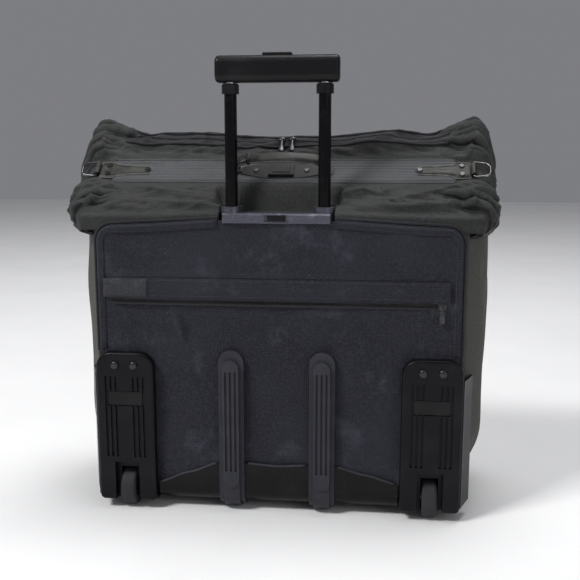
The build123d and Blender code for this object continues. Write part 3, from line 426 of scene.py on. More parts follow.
def beads(name, spots, mat, body="back_half"):
    """Many small closed lozenges: spots are (middle, along, across, off) half-size vectors."""
    verts, faces = [], []
    for middle, along, across, off in spots:
        k = len(verts)
        for half in (along, across, off):
            verts += [middle - half, middle + half]
        verts += [middle + (along + across) * 0.6, middle + (along - across) * 0.6]
        verts += [middle + (across - along) * 0.6, middle - (along + across) * 0.6]
        top, bottom = k + 5, k + 4
        ring = [k + 1, k + 6, k + 3, k + 8, k + 0, k + 9, k + 2, k + 7]
        for a, b in zip(ring, ring[1:] + ring[:1]):
            faces.append((a, b, top))
            faces.append((b, a, bottom))
    return make_object(name, verts, faces, mat, body=body)


def along_path(path, pitch):
    """Evenly spaced (point, direction) pairs along a path."""
    spots = []
    carry = 0.0
    for a, b in zip(path, path[1:]):
        length = (b - a).length
        if length < 1e-9:
            continue
        d = carry
        while d < length:
            spots.append((a + (b - a) * (d / length), (b - a) / length))
            d += pitch
        carry = d - length
    return spots


def stitch_row(name, paths, off, pitch=0.0046, length=0.0032, width=0.0011, body="back_half"):
    """Rows of stitches lying on a surface whose outward direction is off."""
    spots = []
    for path in paths:
        for middle, along in along_path(path, pitch):
            across = along.cross(off).normalized()
            spots.append((middle, along * length / 2, across * width / 2, off * 0.0006))
    return beads(name, spots, THREAD, body=body)


def teeth_row(name, paths, off, pitch=0.0024, width=0.006, body="back_half"):
    """Zip teeth: short lozenges across the line of the zip."""
    spots = []
    for path in paths:
        for middle, along in along_path(path, pitch):
            across = along.cross(off).normalized()
            spots.append((middle, across * width / 2, along * pitch * 0.36, off * 0.0012))
    return beads(name, spots, ZIP, body=body)


# ---- the back panel
CORNER_R = 0.030
CROWN = 0.0135


def panel_half_width(z, inset):
    """Half the panel's width at a height, with its round top corners."""
    half = PANEL_X - inset
    radius = CORNER_R - inset
    rise = z - (PANEL_TOP - CORNER_R)
    if rise <= 0:
        return half
    return half - radius + math.sqrt(max(0.0, radius * radius - min(rise, radius) ** 2))


def crown_at(x):
    """How far the panel's top edge rises at x."""
    return CROWN * (1 - smooth(abs(x) / (PANEL_X * 0.98)))


def crease(x, z, start, end, width):
    """How much a point feels a straight crease between two points of the panel."""
    ax, az = start
    bx, bz = end
    t = ((x - ax) * (bx - ax) + (z - az) * (bz - az)) / ((bx - ax) ** 2 + (bz - az) ** 2)
    t = min(1.0, max(0.0, t))
    distance = math.hypot(x - mix(ax, bx, t), z - mix(az, bz, t))
    fade = 1.0 - 0.7 * abs(2 * t - 1)
    return fade * math.exp(-((distance / width) ** 2))


# where each crease starts and ends, its width and its height
CREASES = [
    ((-0.178, 0.338), (-0.160, 0.270), 0.009, -0.0030),
    ((-0.166, 0.338), (-0.138, 0.262), 0.010, 0.0028),
    ((-0.140, 0.268), (-0.122, 0.338), 0.009, -0.0022),
    ((-0.230, 0.300), (-0.190, 0.262), 0.012, -0.0018),
    ((-0.060, 0.285), (0.040, 0.305), 0.014, -0.0014),
    ((-0.245, 0.330), (-0.215, 0.285), 0.010, 0.0022),
    ((0.030, 0.335), (0.090, 0.300), 0.012, 0.0018),
    ((0.120, 0.325), (0.160, 0.270), 0.013, -0.0016),
    ((0.105, 0.200), (0.185, 0.130), 0.014, 0.0016),
    ((-0.050, 0.400), (0.060, 0.420), 0.012, 0.0012),
    ((0.180, 0.440), (0.262, 0.415), 0.010, 0.0016),
]


def panel_dent(x, z):
    """Depth of the panel's soft dents; positive is inwards."""
    edge = smooth((PANEL_X - 0.012 - abs(x)) / 0.05) * smooth((PANEL_TOP + 0.004 - z) / 0.04)
    under_flap = smooth((abs(z - FLAP_Z) - 0.017) / 0.010)
    depth = 0.0052 * rough_noise(x * 7, z * 7, 1.0) + 0.0026 * rough_noise(x * 17, z * 15, 4.0)
    depth += 0.0009 * rough_noise(x * 42, z * 38, 7.0) + 0.0028
    for start, end, width, height in CREASES:
        depth -= 3.2 * height * crease(x, z, start, end, 0.75 * width)
    depth = max(-0.0055, depth) if depth < 0 else 0.0040 * math.tanh(depth / 0.0040)
    return depth * edge * under_flap


def make_back_panel():
    """The stretched nylon skin, open round the wheel housings and the bezel."""
    low = PANEL_LOW[2]

    def point(u, v):
        z = mix(low, PANEL_TOP - 0.004, u)
        half = panel_half_width(z, 0.005)
        x = mix(-half, half, v)
        lift = crown_at(x) * smooth((z - 0.38) / (PANEL_TOP - 0.38))
        return Vector((x, BACK_Y + panel_dent(x, z), z + lift))

    def keep(p):
        in_housing = abs(p.x) > HOUSING_LOW[0] + 0.004 and p.z < HOUSING_HIGH[2] - 0.03
        in_bezel = abs(p.x) < BEZEL_HALF and p.z > 0.4635
        return not in_housing and not in_bezel

    sheet_piece("panel_cloth", point, 150, 190, NYLON, ["back_panel"], thickness=0.0035,
                keep_face=keep)


def panel_edge_path(inset, y, low=0.262, steps=60):
    """Up the left side, over the crowned top and down the right side."""
    path = []
    for i in range(steps):
        z = mix(low, PANEL_TOP - CORNER_R, i / (steps - 1))
        path.append(Vector((-(PANEL_X - inset), y, z)))
    radius = CORNER_R - inset
    for i in range(1, 10):
        turn = math.pi / 2 * i / 9
        x = -(PANEL_X - CORNER_R) - radius * math.cos(turn)
        path.append(Vector((x, y, PANEL_TOP - CORNER_R + radius * math.sin(turn) + crown_at(x) * i / 9)))
    for i in range(1, steps):
        x = mix(-(PANEL_X - CORNER_R), 0, i / (steps - 1))
        path.append(Vector((x, y, PANEL_TOP - inset + crown_at(x))))
    right = [Vector((-p.x, p.y, p.z)) for p in reversed(path[:-1])]
    return path + right


def outside_bezel(path, half):
    """The path's two parts either side of the bezel."""
    middle = len(path) // 2
    return [[p for p in path[:middle] if p.x < -half], [p for p in path[middle:] if p.x > half]]


def make_panel_edge():
    """The folded edge strip inside the piping, with its two rows of stitches."""
    outer = panel_edge_path(0.0055, BACK_Y - 0.0004)
    inner = panel_edge_path(0.0175, BACK_Y - 0.0002)
    strips = zip(outside_bezel(outer, BEZEL_HALF + 0.0025), outside_bezel(inner, BEZEL_HALF + 0.0025))
    for side, (a, b) in enumerate(strips):
        count = min(len(a), len(b))
        a, b = (a[:count], b[:count]) if side == 0 else (a[-count:], b[-count:])
        verts = []
        for p, q in zip(a, b):
            for k in range(5):
                t = k / 4
                raised = p.lerp(q, t)
                raised.y -= 0.0016 * math.sin(math.pi * (0.12 + 0.86 * t))
                verts.append(raised)
        make_object(("edge_strip_left", "edge_strip_right")[side], verts, grid_faces(count, 5), NYLON,
                    thickness=0.001)
    rows = []
    for inset in (0.0085, 0.0150):
        rows += outside_bezel(panel_edge_path(inset, BACK_Y - 0.0021), BEZEL_HALF + 0.003)
    stitch_row("edge_stitches", rows, OUTWARD)


# ---- pocket flap and zip
def flap_lift(x):
    """The lower lip gapes in the middle and beside a few soft buckles."""
    return 0.0016 * smooth(1 - abs(x) / 0.17) + 0.0009 * rough_noise(x * 18, 2.0)


def make_flap():
    """The flap over the pocket zip, with its rolled hem, its patch and its stitches."""
    low, high = FLAP_LOW[2], FLAP_HIGH[2]
    half = FLAP_HIGH[0]

    def point(u, v):
        x = mix(-half, half, v)
        drop = 0.0016 * rough_noise(x * 11, 9.0) * (1 - u)
        z = mix(low + drop, high, u)
        bow = 0.0012 * math.sin(math.pi * u) + 0.0005 * rough_noise(x * 60, z * 60)
        return Vector((x, BACK_Y - 0.0020 - bow - flap_lift(x) * (1 - u) ** 2, z))

    flap = sheet_piece("flap_cloth", point, 16, 180, NYLON, ["pocket_flap"],
                       thickness=-0.0012)
    rows = []
    for u in (0.14, 0.90):
        rows.append([point(u, v / 200) + Vector((0, -0.0012, 0)) for v in range(201)])
    stitch_row("flap_stitches", rows, OUTWARD)

    def hem(u, v):
        x = mix(-half, half, v)
        turn = 2 * math.pi * u
        edge = point(0.02, v)
        return edge + Vector((0, -math.cos(turn) * 0.0013, math.sin(turn) * 0.0019))

    sheet_piece("flap_hem", hem, 9, 180, NYLON)

    def patch(u, v):
        x = mix(-half - 0.008, -half + 0.062, v)
        z = mix(low + 0.001, high - 0.001, u)
        return Vector((x, BACK_Y - 0.0046 - 0.0006 * math.sin(math.pi * u), z))

    sheet_piece("flap_patch", patch, 8, 18, PATCH_NYLON, thickness=0.0016)


def make_pocket_zip():
    """The zip that lies under the flap's lower lip."""
    line = 0.3395
    half = FLAP_HIGH[0] - 0.006

    def tape(u, v):
        x = mix(-half, half, v)
        return Vector((x, BACK_Y - 0.0012 - 0.0002 * math.sin(u * 40), mix(line - 0.006, line + 0.006, u)))

    sheet_piece("pocket_zip_tape", tape, 8, 120, ZIP_TAPE, ["pocket_zip"], thickness=0.0008)
    path = [Vector((mix(-half, half, i / 100), BACK_Y - 0.0014, line - 0.001)) for i in range(101)]
    teeth_row("pocket_zip_teeth", [path], OUTWARD, pitch=0.002, width=0.0045)


# ---- soft body
# points on each side, bottom corner, flat run and top corner of a soft loop
LOOP_SIDE, LOOP_CORNER, LOOP_FLAT, LOOP_TOP = 34, 14, 40, 6
LOOP_BELOW_TOP = 2 * LOOP_SIDE + 2 * LOOP_CORNER + LOOP_FLAT + 1


def side_width(z, widest, at_top):
    """Half the bag's width at a height: it narrows above the panel."""
    return mix(widest, at_top, smooth((z - PANEL_TOP) / 0.135))


def soft_loop(half, low, high, radius, top_half, y, top_radius=0.02):
    """A closed outline across the bag: down the left, along the bottom, up the right, over the top."""
    points = []
    for i in range(LOOP_SIDE):
        z = mix(high - top_radius, low + radius, i / LOOP_SIDE)
        points.append((-side_width(z, half, top_half), z))
    for i in range(LOOP_CORNER):
        turn = math.pi / 2 * i / LOOP_CORNER
        points.append((-half + radius - radius * math.cos(turn), low + radius - radius * math.sin(turn)))
    for i in range(LOOP_FLAT + 1):
        points.append((mix(-half + radius, half - radius, i / LOOP_FLAT), low))
    for i in range(LOOP_CORNER):
        turn = math.pi / 2 * (i + 1) / LOOP_CORNER
        points.append((half - radius + radius * math.sin(turn), low + radius - radius * math.cos(turn)))
    for i in range(LOOP_SIDE):
        z = mix(low + radius, high - top_radius, (i + 1) / LOOP_SIDE)
        points.append((side_width(z, half, top_half), z))
    edge = side_width(high - top_radius, half, top_half)
    for i in range(LOOP_TOP):
        turn = math.pi / 2 * (i + 1) / LOOP_TOP
        points.append((edge - top_radius + top_radius * math.cos(turn),
                       high - top_radius + top_radius * math.sin(turn)))
    for i in range(LOOP_FLAT - 1):
        points.append((mix(edge - top_radius, top_radius - edge, (i + 1) / LOOP_FLAT), high))
    for i in range(LOOP_TOP):
        turn = math.pi / 2 * i / LOOP_TOP
        points.append((-edge + top_radius - top_radius * math.sin(turn),
                       high - top_radius + top_radius * math.cos(turn)))
    return [Vector((x, y, z)) for x, z in points]


def cloth_wave(p, amount):
    """Slow sags and a few vertical and slanted pulls in the soft walls."""
    wave = rough_noise(p.x * 6 + p.z * 3, p.y * 9, p.z * 7)
    fine = rough_noise(p.x * 22, p.y * 24, p.z * 16)
    return amount * (0.75 * wave + 0.3 * fine)


def pushed(loop, amount, belly=0.0):
    """Move a loop's points in or out along the line from the bag's middle, and swell its two sides."""
    middle = Vector((0, loop[0].y, BAG_MIDDLE_Z))
    moved = []
    for p in loop:
        out = (p - middle).normalized()
        step = cloth_wave(p, amount)
        if p.z < 0.03:
            step = -abs(step) * 0.3
        swell = belly * math.sin(math.pi * min(1.0, max(0.0, (p.z - 0.03) / 0.50))) ** 0.7
        swell *= smooth((abs(p.x) - 0.2) / 0.1)
        moved.append(p + out * step + Vector((math.copysign(swell, p.x), 0, 0)))
    return moved


def make_front_half():
    """The front half's walls and its rounded front, in rings from the rim inwards."""
    start = RIM_FRONT_LOW[1]
    depth = FRONT_Y - start
    rings = []
    half = SIDE_X
    low = FLOOR_GAP
    stations = [(0.06, 0.0), (0.14, 0.0), (0.26, 0.0005), (0.40, 0.0005), (0.54, 0.001), (0.66, 0.003),
                (0.76, 0.007), (0.85, 0.014), (0.92, 0.023), (0.97, 0.034), (1.0, 0.048)]
    first = soft_loop(half - 0.004, low + 0.004, FRONT_TOP - 0.002, SOFT_CORNER, TOP_HALF - 0.002,
                      start + 0.0045)
    rings.append(first)
    for t, inset in stations:
        y = start + depth * t
        high = FRONT_TOP - 0.034 * t - inset * 0.7
        ring = soft_loop(half - inset, low + inset * 0.75, high, SOFT_CORNER - inset * 0.6,
                         TOP_HALF - inset * 0.8, y, 0.02 + inset * 0.5)
        amount = 0.006 * smooth((t - 0.08) / 0.3) * (1 - 0.5 * smooth((t - 0.85) / 0.15))
        rings.append(pushed(ring, amount, 0.018 * math.sin(math.pi * min(1.0, t * 0.9 + 0.05))))
    centre = Vector((0, FRONT_Y, BAG_MIDDLE_Z))
    edge = rings[-1]
    for k in range(1, 12):
        t = k / 12
        ring = []
        for p in edge:
            q = p.lerp(centre, t)
            q.y = FRONT_Y + 0.0035 * rough_noise(q.x * 8, q.z * 8, 3.0) * smooth(t * 3) - 0.001
            ring.append(q)
        rings.append(ring)
    count = len(first)
    verts = [p for ring in rings for p in ring]
    faces = grid_faces(len(rings), count, wrap=True)
    verts.append(centre)
    last = (len(rings) - 1) * count
    for j in range(count):
        faces.append((last + j, last + (j + 1) % count, len(verts) - 1))
    make_object("front_half_cloth", verts, faces, NYLON_SIDE,
                ["front_panel", "front_gusset_left", "front_gusset_right", "front_gusset_bottom",
                 "front_gusset_top"], thickness=0.0035, body="front_half")
    welt = rings[9]
    tube_piece("front_welt", [p + (p - centre).normalized() * 0.0012 for p in welt], 0.0026, PIPING_CLOTH,
               closed=True, body="front_half")


def make_front_pocket():
    """An empty outer pocket with a curved zip over its top."""
    half = POCKET_HIGH[0]
    half_height = (POCKET_HIGH[2] - POCKET_LOW[2]) / 2
    middle_z = mix(POCKET_LOW[2], POCKET_HIGH[2], 0.5)

    def point(u, v):
        turn = 2 * math.pi * v
        c, s = math.cos(turn), math.sin(turn)
        squircle = (abs(c) ** 5 + abs(s) ** 5) ** (-1 / 5)
        reach = 1 - u
        x = half * c * squircle * reach
        z = middle_z + half_height * s * squircle * reach
        rise = 1 - max(0.0, (reach - 0.80) / 0.20) ** 2.2
        puff = 0.0110 * rise + 0.0016 * rough_noise(x * 9, z * 9, 5.0) * rise
        return Vector((x, FRONT_Y - 0.001 + puff, z))

    sheet_piece("front_pocket_cloth", point, 40, 128, NYLON_SIDE, ["front_pocket"],
                thickness=0.0012, wrap=True, body="front_half")
    path = [point(0.06, i / 128) + Vector((0, 0.0008, 0)) for i in range(2, 63)]
    teeth_row("front_pocket_zip", [path], Vector((0, 1, 0)), width=0.005, body="front_half")
    rows = [[point(0.11, i / 128) + Vector((0, 0.0006, 0)) for i in range(129)]]
    stitch_row("front_pocket_stitches", rows, Vector((0, 1, 0)), body="front_half")


def make_back_gussets():
    """The back half's two sides and its bottom, from the panel's edge to the rim."""
    stations = [0.0, 0.12, 0.26, 0.40, 0.55, 0.70, 0.85, 1.0]
    start = BACK_Y + 0.004
    depth = RIM_Y - start
    rings = []
    for t in stations:
        widened = min(1.0, t / 0.66)
        half = mix(PANEL_X - 0.002, SIDE_X, widened) - 0.0016 * math.sin(math.pi * widened)
        low = FLOOR_GAP + 0.010 * max(0.0, 1 - t / 0.2) ** 2
        loop = soft_loop(half, low, RIM_TOP + 0.03, SOFT_CORNER - 0.02 * (1 - t), half, start + depth * t)
        amount = 0.006 * math.sin(math.pi * t)
        rings.append(pushed(loop[:LOOP_BELOW_TOP + 1], amount, amount))
    count = len(rings[0])
    verts = [p for ring in rings for p in ring]

    def keep(face):
        p = sum((verts[k] for k in face), Vector()) / 4
        in_housing = abs(p.x) > HOUSING_LOW[0] - 0.002 and p.y < HOUSING_LOW[1] + 0.066 and p.z < 0.092
        return not in_housing and p.z < RIM_TOP + 0.012

    faces = [f for f in grid_faces(len(rings), count) if keep(f)]
    make_object("back_gusset_cloth", verts, faces, NYLON_SIDE,
                ["gusset_left", "gusset_right", "gusset_bottom"], thickness=0.003)


def outline_x(y, z):
    """How far out the back half's wall is at y and z, near its round bottom corners."""
    radius = SOFT_CORNER - 0.012
    rise = max(0.0, FLOOR_GAP + radius - z)
    return gusset_half(y) - radius + math.sqrt(max(0.0, radius ** 2 - rise ** 2)) - 0.006


def make_wheel_covers():
    """Lined boxes over the wheel housings, seen from inside the bag."""
    near = HOUSING_LOW[0] - 0.006
    front = BACK_Y + 0.007
    deep = HOUSING_LOW[1] + 0.071
    low = FLOOR_GAP + 0.003
    top = 0.098
    n = 14
    for side, name in SIDES:
        verts, faces = [], []
        for wall in range(3):
            first = len(verts)
            for i in range(n):
                for j in range(n):
                    u, v = i / (n - 1), j / (n - 1)
                    y, z = ((deep, mix(low, top, v)), (mix(front, deep, v), top),
                            (mix(front, deep, u), mix(low, top, v)))[wall]
                    x = near if wall == 2 else mix(near, max(near, outline_x(y, z)), u)
                    verts.append(Vector((side * x, y, z)))
            faces += [tuple(first + k for k in f) for f in grid_faces(n, n)]
        make_object(f"wheel_cover_{name}", verts, faces, LINING_CLOTH, thickness=0.001)


def rim_path(y, inset, top):
    """Down the left of the rim, along the bottom and up the right."""
    loop = soft_loop(SIDE_X - inset, FLOOR_GAP + inset, top + 0.02, SOFT_CORNER - inset, TOP_HALF - inset, y)
    return loop[1:LOOP_BELOW_TOP]


def make_main_zip():
    """The teeth on both facing rims, and the welt round each rim."""
    halves = (("back", RIM_BACK_HIGH[1] - 0.0012, RIM_Y - 0.0015, RIM_TOP - 0.02),
              ("front", RIM_FRONT_LOW[1] + 0.0012, FRONT_RIM_Y + 0.0015, FRONT_ZIP_TOP))
    for name, teeth_y, _, top in halves:
        spots = []
        for middle, along in along_path(rim_path(teeth_y, -0.0006, top), 0.0026):
            off = (middle - Vector((0, middle.y, BAG_MIDDLE_Z))).normalized()
            spots.append((middle, Vector((0, 0.0013, 0)), along * 0.0009, off * 0.0012))
        beads(f"main_zip_teeth_{name}", spots, ZIP, body=f"{name}_half")
    for name, _, welt_y, top in halves:
        tube_piece(f"rim_welt_{name}", rim_path(welt_y, -0.0005, top), 0.0022, PIPING_CLOTH,
                   body=f"{name}_half")


# ---- upper fold and its gathered ends
def ear_amount(x):
    """0 over the middle of the fold and 1 at its gathered ends."""
    return smooth((abs(x) - EAR_START) / (EAR_END - EAR_START))


def fold_height(x, s):
    """How far the slack cloth stands off the slope."""
    t = s / SLOPE_LEN
    ear = ear_amount(x)
    warp = 0.5 * rough_noise(x * 5, s * 12, 6.0)
    slack = 0.0060 * math.sin(math.pi * min(1.0, t * 1.02)) ** 0.5
    long_folds = ridge(2.2 * rough_noise(x * 4.2 + warp, s * 30 - abs(x) * 3, 2.0)) - 0.5
    short_folds = ridge(2.2 * rough_noise(x * 11 + s * 9, s * 46 + x * 5, 8.0)) - 0.5
    pulls = ridge(2.4 * rough_noise(abs(x) * 26 - s * 12, s * 26 + abs(x) * 14, 5.0)) - 0.5
    sharp = ridge(3.0 * rough_noise(x * 13 - s * 18, s * 60 + abs(x) * 22, 11.0)) - 0.5
    height = slack + (1 - 0.6 * ear) * (0.0080 * long_folds + 0.0034 * short_folds + 0.0022 * sharp)
    height += ear * (0.0125 * pulls + 0.0060 * short_folds + 0.0030 * sharp)
    height += 0.0013 * rough_noise(x * 45, s * 50, 3.0)
    flat_half = mix(0.029, 0.021, smooth((abs(x) - 0.255) / 0.02))
    off_middle = abs(s - MID_S)
    pressed = smooth((flat_half + 0.014 - off_middle) / 0.014) * smooth((0.312 - abs(x)) / 0.012)
    return mix(height, 0.0004, pressed)


def crest_rise(x):
    """The crest's line: low in the middle, up at the quarters and at the bunched ends."""
    return (-0.0055 + 0.0110 * math.exp(-(((abs(x) - 0.17) / 0.075) ** 2)) + 0.034 * ear_amount(x)
            + 0.0030 * rough_noise(x * 14, 5.0))


TUCK_END = 0.07


def fold_point(x, t):
    """A point of the upper fold; t runs from behind the panel's top edge to the crest."""
    s = mix(0.0, SLOPE_LEN, max(0.0, (t - TUCK_END) / (1 - TUCK_END)))
    up = s / SLOPE_LEN
    lift = fold_height(x, s) * smooth(up * 8) * smooth((1 - up) * 14 + 0.25)
    p = on_slope(x, s, lift)
    p.z += crest_rise(x) * smooth((up - 0.60) / 0.4)
    p.z += 0.006 * smooth(1 - up * 12) * (1 - smooth(abs(x) / 0.28))
    if t < TUCK_END:
        p.z -= (TUCK_END - t) / TUCK_END * 0.022
        p.y -= 0.0015
    behind_bezel = smooth((0.101 - abs(x)) / 0.010) * smooth((-0.0655 - p.y) / 0.013)
    p.z = mix(p.z, min(p.z, mix(0.4845, 0.4705, smooth((0.062 - abs(x)) / 0.006))), behind_bezel)
    p.y = min(p.y, FOLD_BACK_Y)
    return p


def gusset_half(y):
    """Half the bag's width at y, between the panel's edge and the rim."""
    start = BACK_Y + 0.004
    return mix(PANEL_X - 0.002, SIDE_X, min(1.0, max(0.0, (y - start) / (0.66 * (RIM_Y - start)))))


FOLD_HALF = 0.300


def fold_end(side, u, step):
    """A point of the fold's end wall: step runs from the slope's edge over and down to the gusset."""
    top = fold_point(side * FOLD_HALF, u)
    bottom = min(0.441 + 0.006 * rough_noise(u * 4, side * 3.0), top.z - 0.010)
    tall = smooth((top.z - bottom) / 0.07)
    turn = mix(math.pi / 2, -math.pi / 2, step ** 0.9)
    plump = 0.012 + 0.018 * smooth(u / 0.30)
    pleat = 0.0085 * (ridge(2.2 * rough_noise(u * 9 + step * 1.5, step * 2.4, side * 4.0)) - 0.5)
    pleat += 0.0026 * rough_noise(u * 20, step * 9, side * 2.0)
    pleat *= math.sin(math.pi * min(1.0, step * 1.05)) ** 0.5 * tall
    foot = min(FOLD_HALF, gusset_half(top.y) + 0.002)
    x = mix(FOLD_HALF, foot, smooth(step)) + plump * math.cos(turn) + pleat
    y = top.y + 0.013 * smooth(step * 1.3) * (1 - smooth(u / 0.22))
    z = mix(bottom, top.z, 0.5 + 0.5 * math.sin(turn))
    return Vector((side * min(x, EARS_HIGH[0] + 0.008), min(y, FOLD_BACK_Y), z))


def make_upper_fold():
    """The slack cloth from the panel's top over the slope, with both end walls, as one sheet."""
    end_columns = 30
    middle_columns = 230
    rows = 120
    columns = middle_columns + 2 * end_columns

    def point(u, j):
        if j < end_columns:
            return fold_end(-1, u, (end_columns - j) / end_columns)
        if j >= end_columns + middle_columns:
            return fold_end(1, u, (j - end_columns - middle_columns + 1) / end_columns)
        return fold_point(mix(-FOLD_HALF, FOLD_HALF, (j - end_columns) / (middle_columns - 1)), u)

    verts = [point(i / (rows - 1), j) for i in range(rows) for j in range(columns)]
    for p in verts[-columns:]:
        verts.append(Vector((math.copysign(min(abs(p.x), 0.310), p.x), 0.0178, p.z - 0.003)))

    def keep(face):
        p = sum((verts[k] for k in face), Vector()) / 4
        return not (abs(p.x) < BEZEL_HALF + 0.0005 and p.y < -0.0785)

    faces = [f for f in grid_faces(rows + 1, columns) if keep(f)]
    obj = make_object("upper_fold_cloth", verts, faces, NYLON_SOFT, ["upper_fold", "ears"],
                      thickness=0.002)


# each roll's place on the fold at its inner and outer end, its first x, its radius and how far it runs
PLEATS = [(0.965, 0.900, 0.225, 0.0100, 0.62), (0.885, 0.800, 0.245, 0.0088, 0.72),
          (0.800, 0.730, 0.262, 0.0070, 0.80), (0.405, 0.400, 0.258, 0.0080, 0.80),
          (0.325, 0.290, 0.240, 0.0095, 0.72), (0.235, 0.180, 0.255, 0.0075, 0.66)]


def make_ear_pleats():
    """Gathered rolls of cloth that run out over the fold's ends and down their walls."""
    steps, around = 44, 14
    for side, name in SIDES:
        verts, faces = [], []
        for k, (u0, u1, x0, radius, end_step) in enumerate(PLEATS):
            path = []
            for i in range(steps + 1):
                q = i / steps
                u = mix(u0, u1, q) + 0.012 * rough_noise(q * 3.5, k * 3.0, side * 2.0)
                if q < 0.5:
                    path.append(fold_point(side * mix(x0, FOLD_HALF, q * 2), u))
                else:
                    path.append(fold_end(side, u, end_step * (2 * q - 1)))
            first = len(verts)
            for i in range(steps + 1):
                q = i / steps
                along = (path[min(steps, i + 1)] - path[max(0, i - 1)]).normalized()
                lean = smooth((q - 0.35) / 0.35)
                off = (OFF_SLOPE * (1 - lean) + Vector((side, 0, 0.1)) * lean).normalized()
                across = along.cross(off).normalized()
                size = radius * math.sin(math.pi * min(1.0, max(0.0, q * 0.96 + 0.02))) ** 0.75
                size *= 1 + 0.30 * rough_noise(q * 5, k * 2.0, side * 7.0)
                middle = path[i] - off * size * 0.25
                for j in range(around):
                    turn = 2 * math.pi * j / around
                    p = middle + off * math.sin(turn) * size + across * math.cos(turn) * size * 1.15
                    p.y = min(p.y, FOLD_BACK_Y)
                    p.x = side * min(abs(p.x), EARS_HIGH[0] + 0.010)
                    verts.append(p)
            faces += [tuple(first + n for n in f) for f in grid_faces(steps + 1, around, wrap=True)]
            faces.append(tuple(first + j for j in range(around)))
            faces.append(tuple(first + steps * around + j for j in range(around)))
        make_object(f"ear_pleats_{name}", verts, faces, NYLON_SOFT)


# ---- crest zip and fold hinge
def make_crest():
    """The zip band along the crest, its two welts and the two sliders that meet at the middle."""
    half = 0.262

    def band_point(u, v):
        x = mix(-half, half, v)
        s = mix(*CREST_S, u)
        base = fold_point(x, TUCK_END + (1 - TUCK_END) * s / SLOPE_LEN)
        return base + OFF_SLOPE * (0.0022 + 0.0010 * math.sin(math.pi * u))

    sheet_piece("crest_zip_tape", band_point, 10, 160, ZIP_TAPE, ["crest_zip"], thickness=0.0012)
    for name, u in (("crest_welt_low", 0.02), ("crest_welt_high", 0.98)):
        path = [band_point(u, i / 120) + OFF_SLOPE * 0.0012 for i in range(121)]
        tube_piece(name, path, 0.0021, PIPING_CLOTH)
    path = [band_point(0.5, i / 120) + OFF_SLOPE * 0.0006 for i in range(121)]
    teeth_row("crest_zip_teeth", [path], OFF_SLOPE, pitch=0.0026, width=0.0055)
    for name, x in (("crest_slider_left", -0.004), ("crest_slider_right", 0.013)):
        middle = band_point(0.5, (x + half) / (2 * half)) + OFF_SLOPE * 0.0032

        def body(u, w, middle=middle):
            turn = 2 * math.pi * w
            rise = math.pi * (u - 0.5)
            return (middle + ACROSS * 0.0062 * math.cos(rise) * math.cos(turn)
                    + UP_SLOPE * 0.0050 * math.cos(rise) * math.sin(turn)
                    + OFF_SLOPE * 0.0026 * math.sin(rise))

        sheet_piece(name, body, 9, 16, RIVET, wrap=True)

        def tab(u, w, middle=middle):
            turn = 2 * math.pi * w
            return (middle - UP_SLOPE * mix(0.004, 0.027, u)
                    + OFF_SLOPE * (0.0008 + 0.0009 * math.sin(turn))
                    + ACROSS * math.cos(turn) * (0.0022 + 0.0020 * smooth((u - 0.4) * 3)))

        sheet_piece(name + "_pull", tab, 12, 12, RIVET, wrap=True)


def make_fold_hinge():
    """The loose cloth over the top edge, left on no body."""
    half = 0.286

    def point(u, v):
        x = mix(-half, half, v)
        y = mix(0.012, 0.034, u)
        z = mix(0.5915 + crest_rise(x), 0.5905, u) + 0.0035 * math.sin(math.pi * u)
        return Vector((x, y, z + 0.0008 * rough_noise(x * 40, u * 4)))

    obj = sheet_piece("fold_hinge_cloth", point, 14, 120, NYLON_SOFT, thickness=0.0015,
                      body=None)
    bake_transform(obj)


# ---- band, tabs, carry handle
def make_band():
    """The ribbed webbing across the fold."""
    half = 0.270

    def point(u, v):
        x = mix(-half, half, v)
        s = mix(*BAND_S, u)
        h = 0.0032 + 0.00028 * math.sin(u * math.pi * 17) + 0.0007 * rough_noise(x * 24, u * 3)
        if u in (0.0, 1.0):
            h = 0.0008
        return on_slope(x, s, h)

    sheet_piece("band_webbing", point, 70, 150, WEBBING, ["handle_band"], thickness=0.0016)
    rows = []
    for u in (0.07, 0.93):
        rows.append([point(u, i / 150) + OFF_SLOPE * 0.0006 for i in range(151)])
    stitch_row("band_stitches", rows, OFF_SLOPE)


# the tab's outline from its outer end inwards: x and half the width there
TAB_OUTLINE = [(0.2920, 0.0165), (0.2740, 0.0172), (0.2620, 0.0118), (0.2500, 0.0096), (0.2300, 0.0088),
               (0.2160, 0.0086), (0.2102, 0.0062), (0.2075, 0.0)]


def tab_width(x):
    """Half the tab's width at x, from its outer end to its round inner tip."""
    for (xa, wa), (xb, wb) in zip(TAB_OUTLINE, TAB_OUTLINE[1:]):
        if xb <= x <= xa:
            return mix(wa, wb, smooth((xa - x) / (xa - xb)))
    return TAB_OUTLINE[0][1]


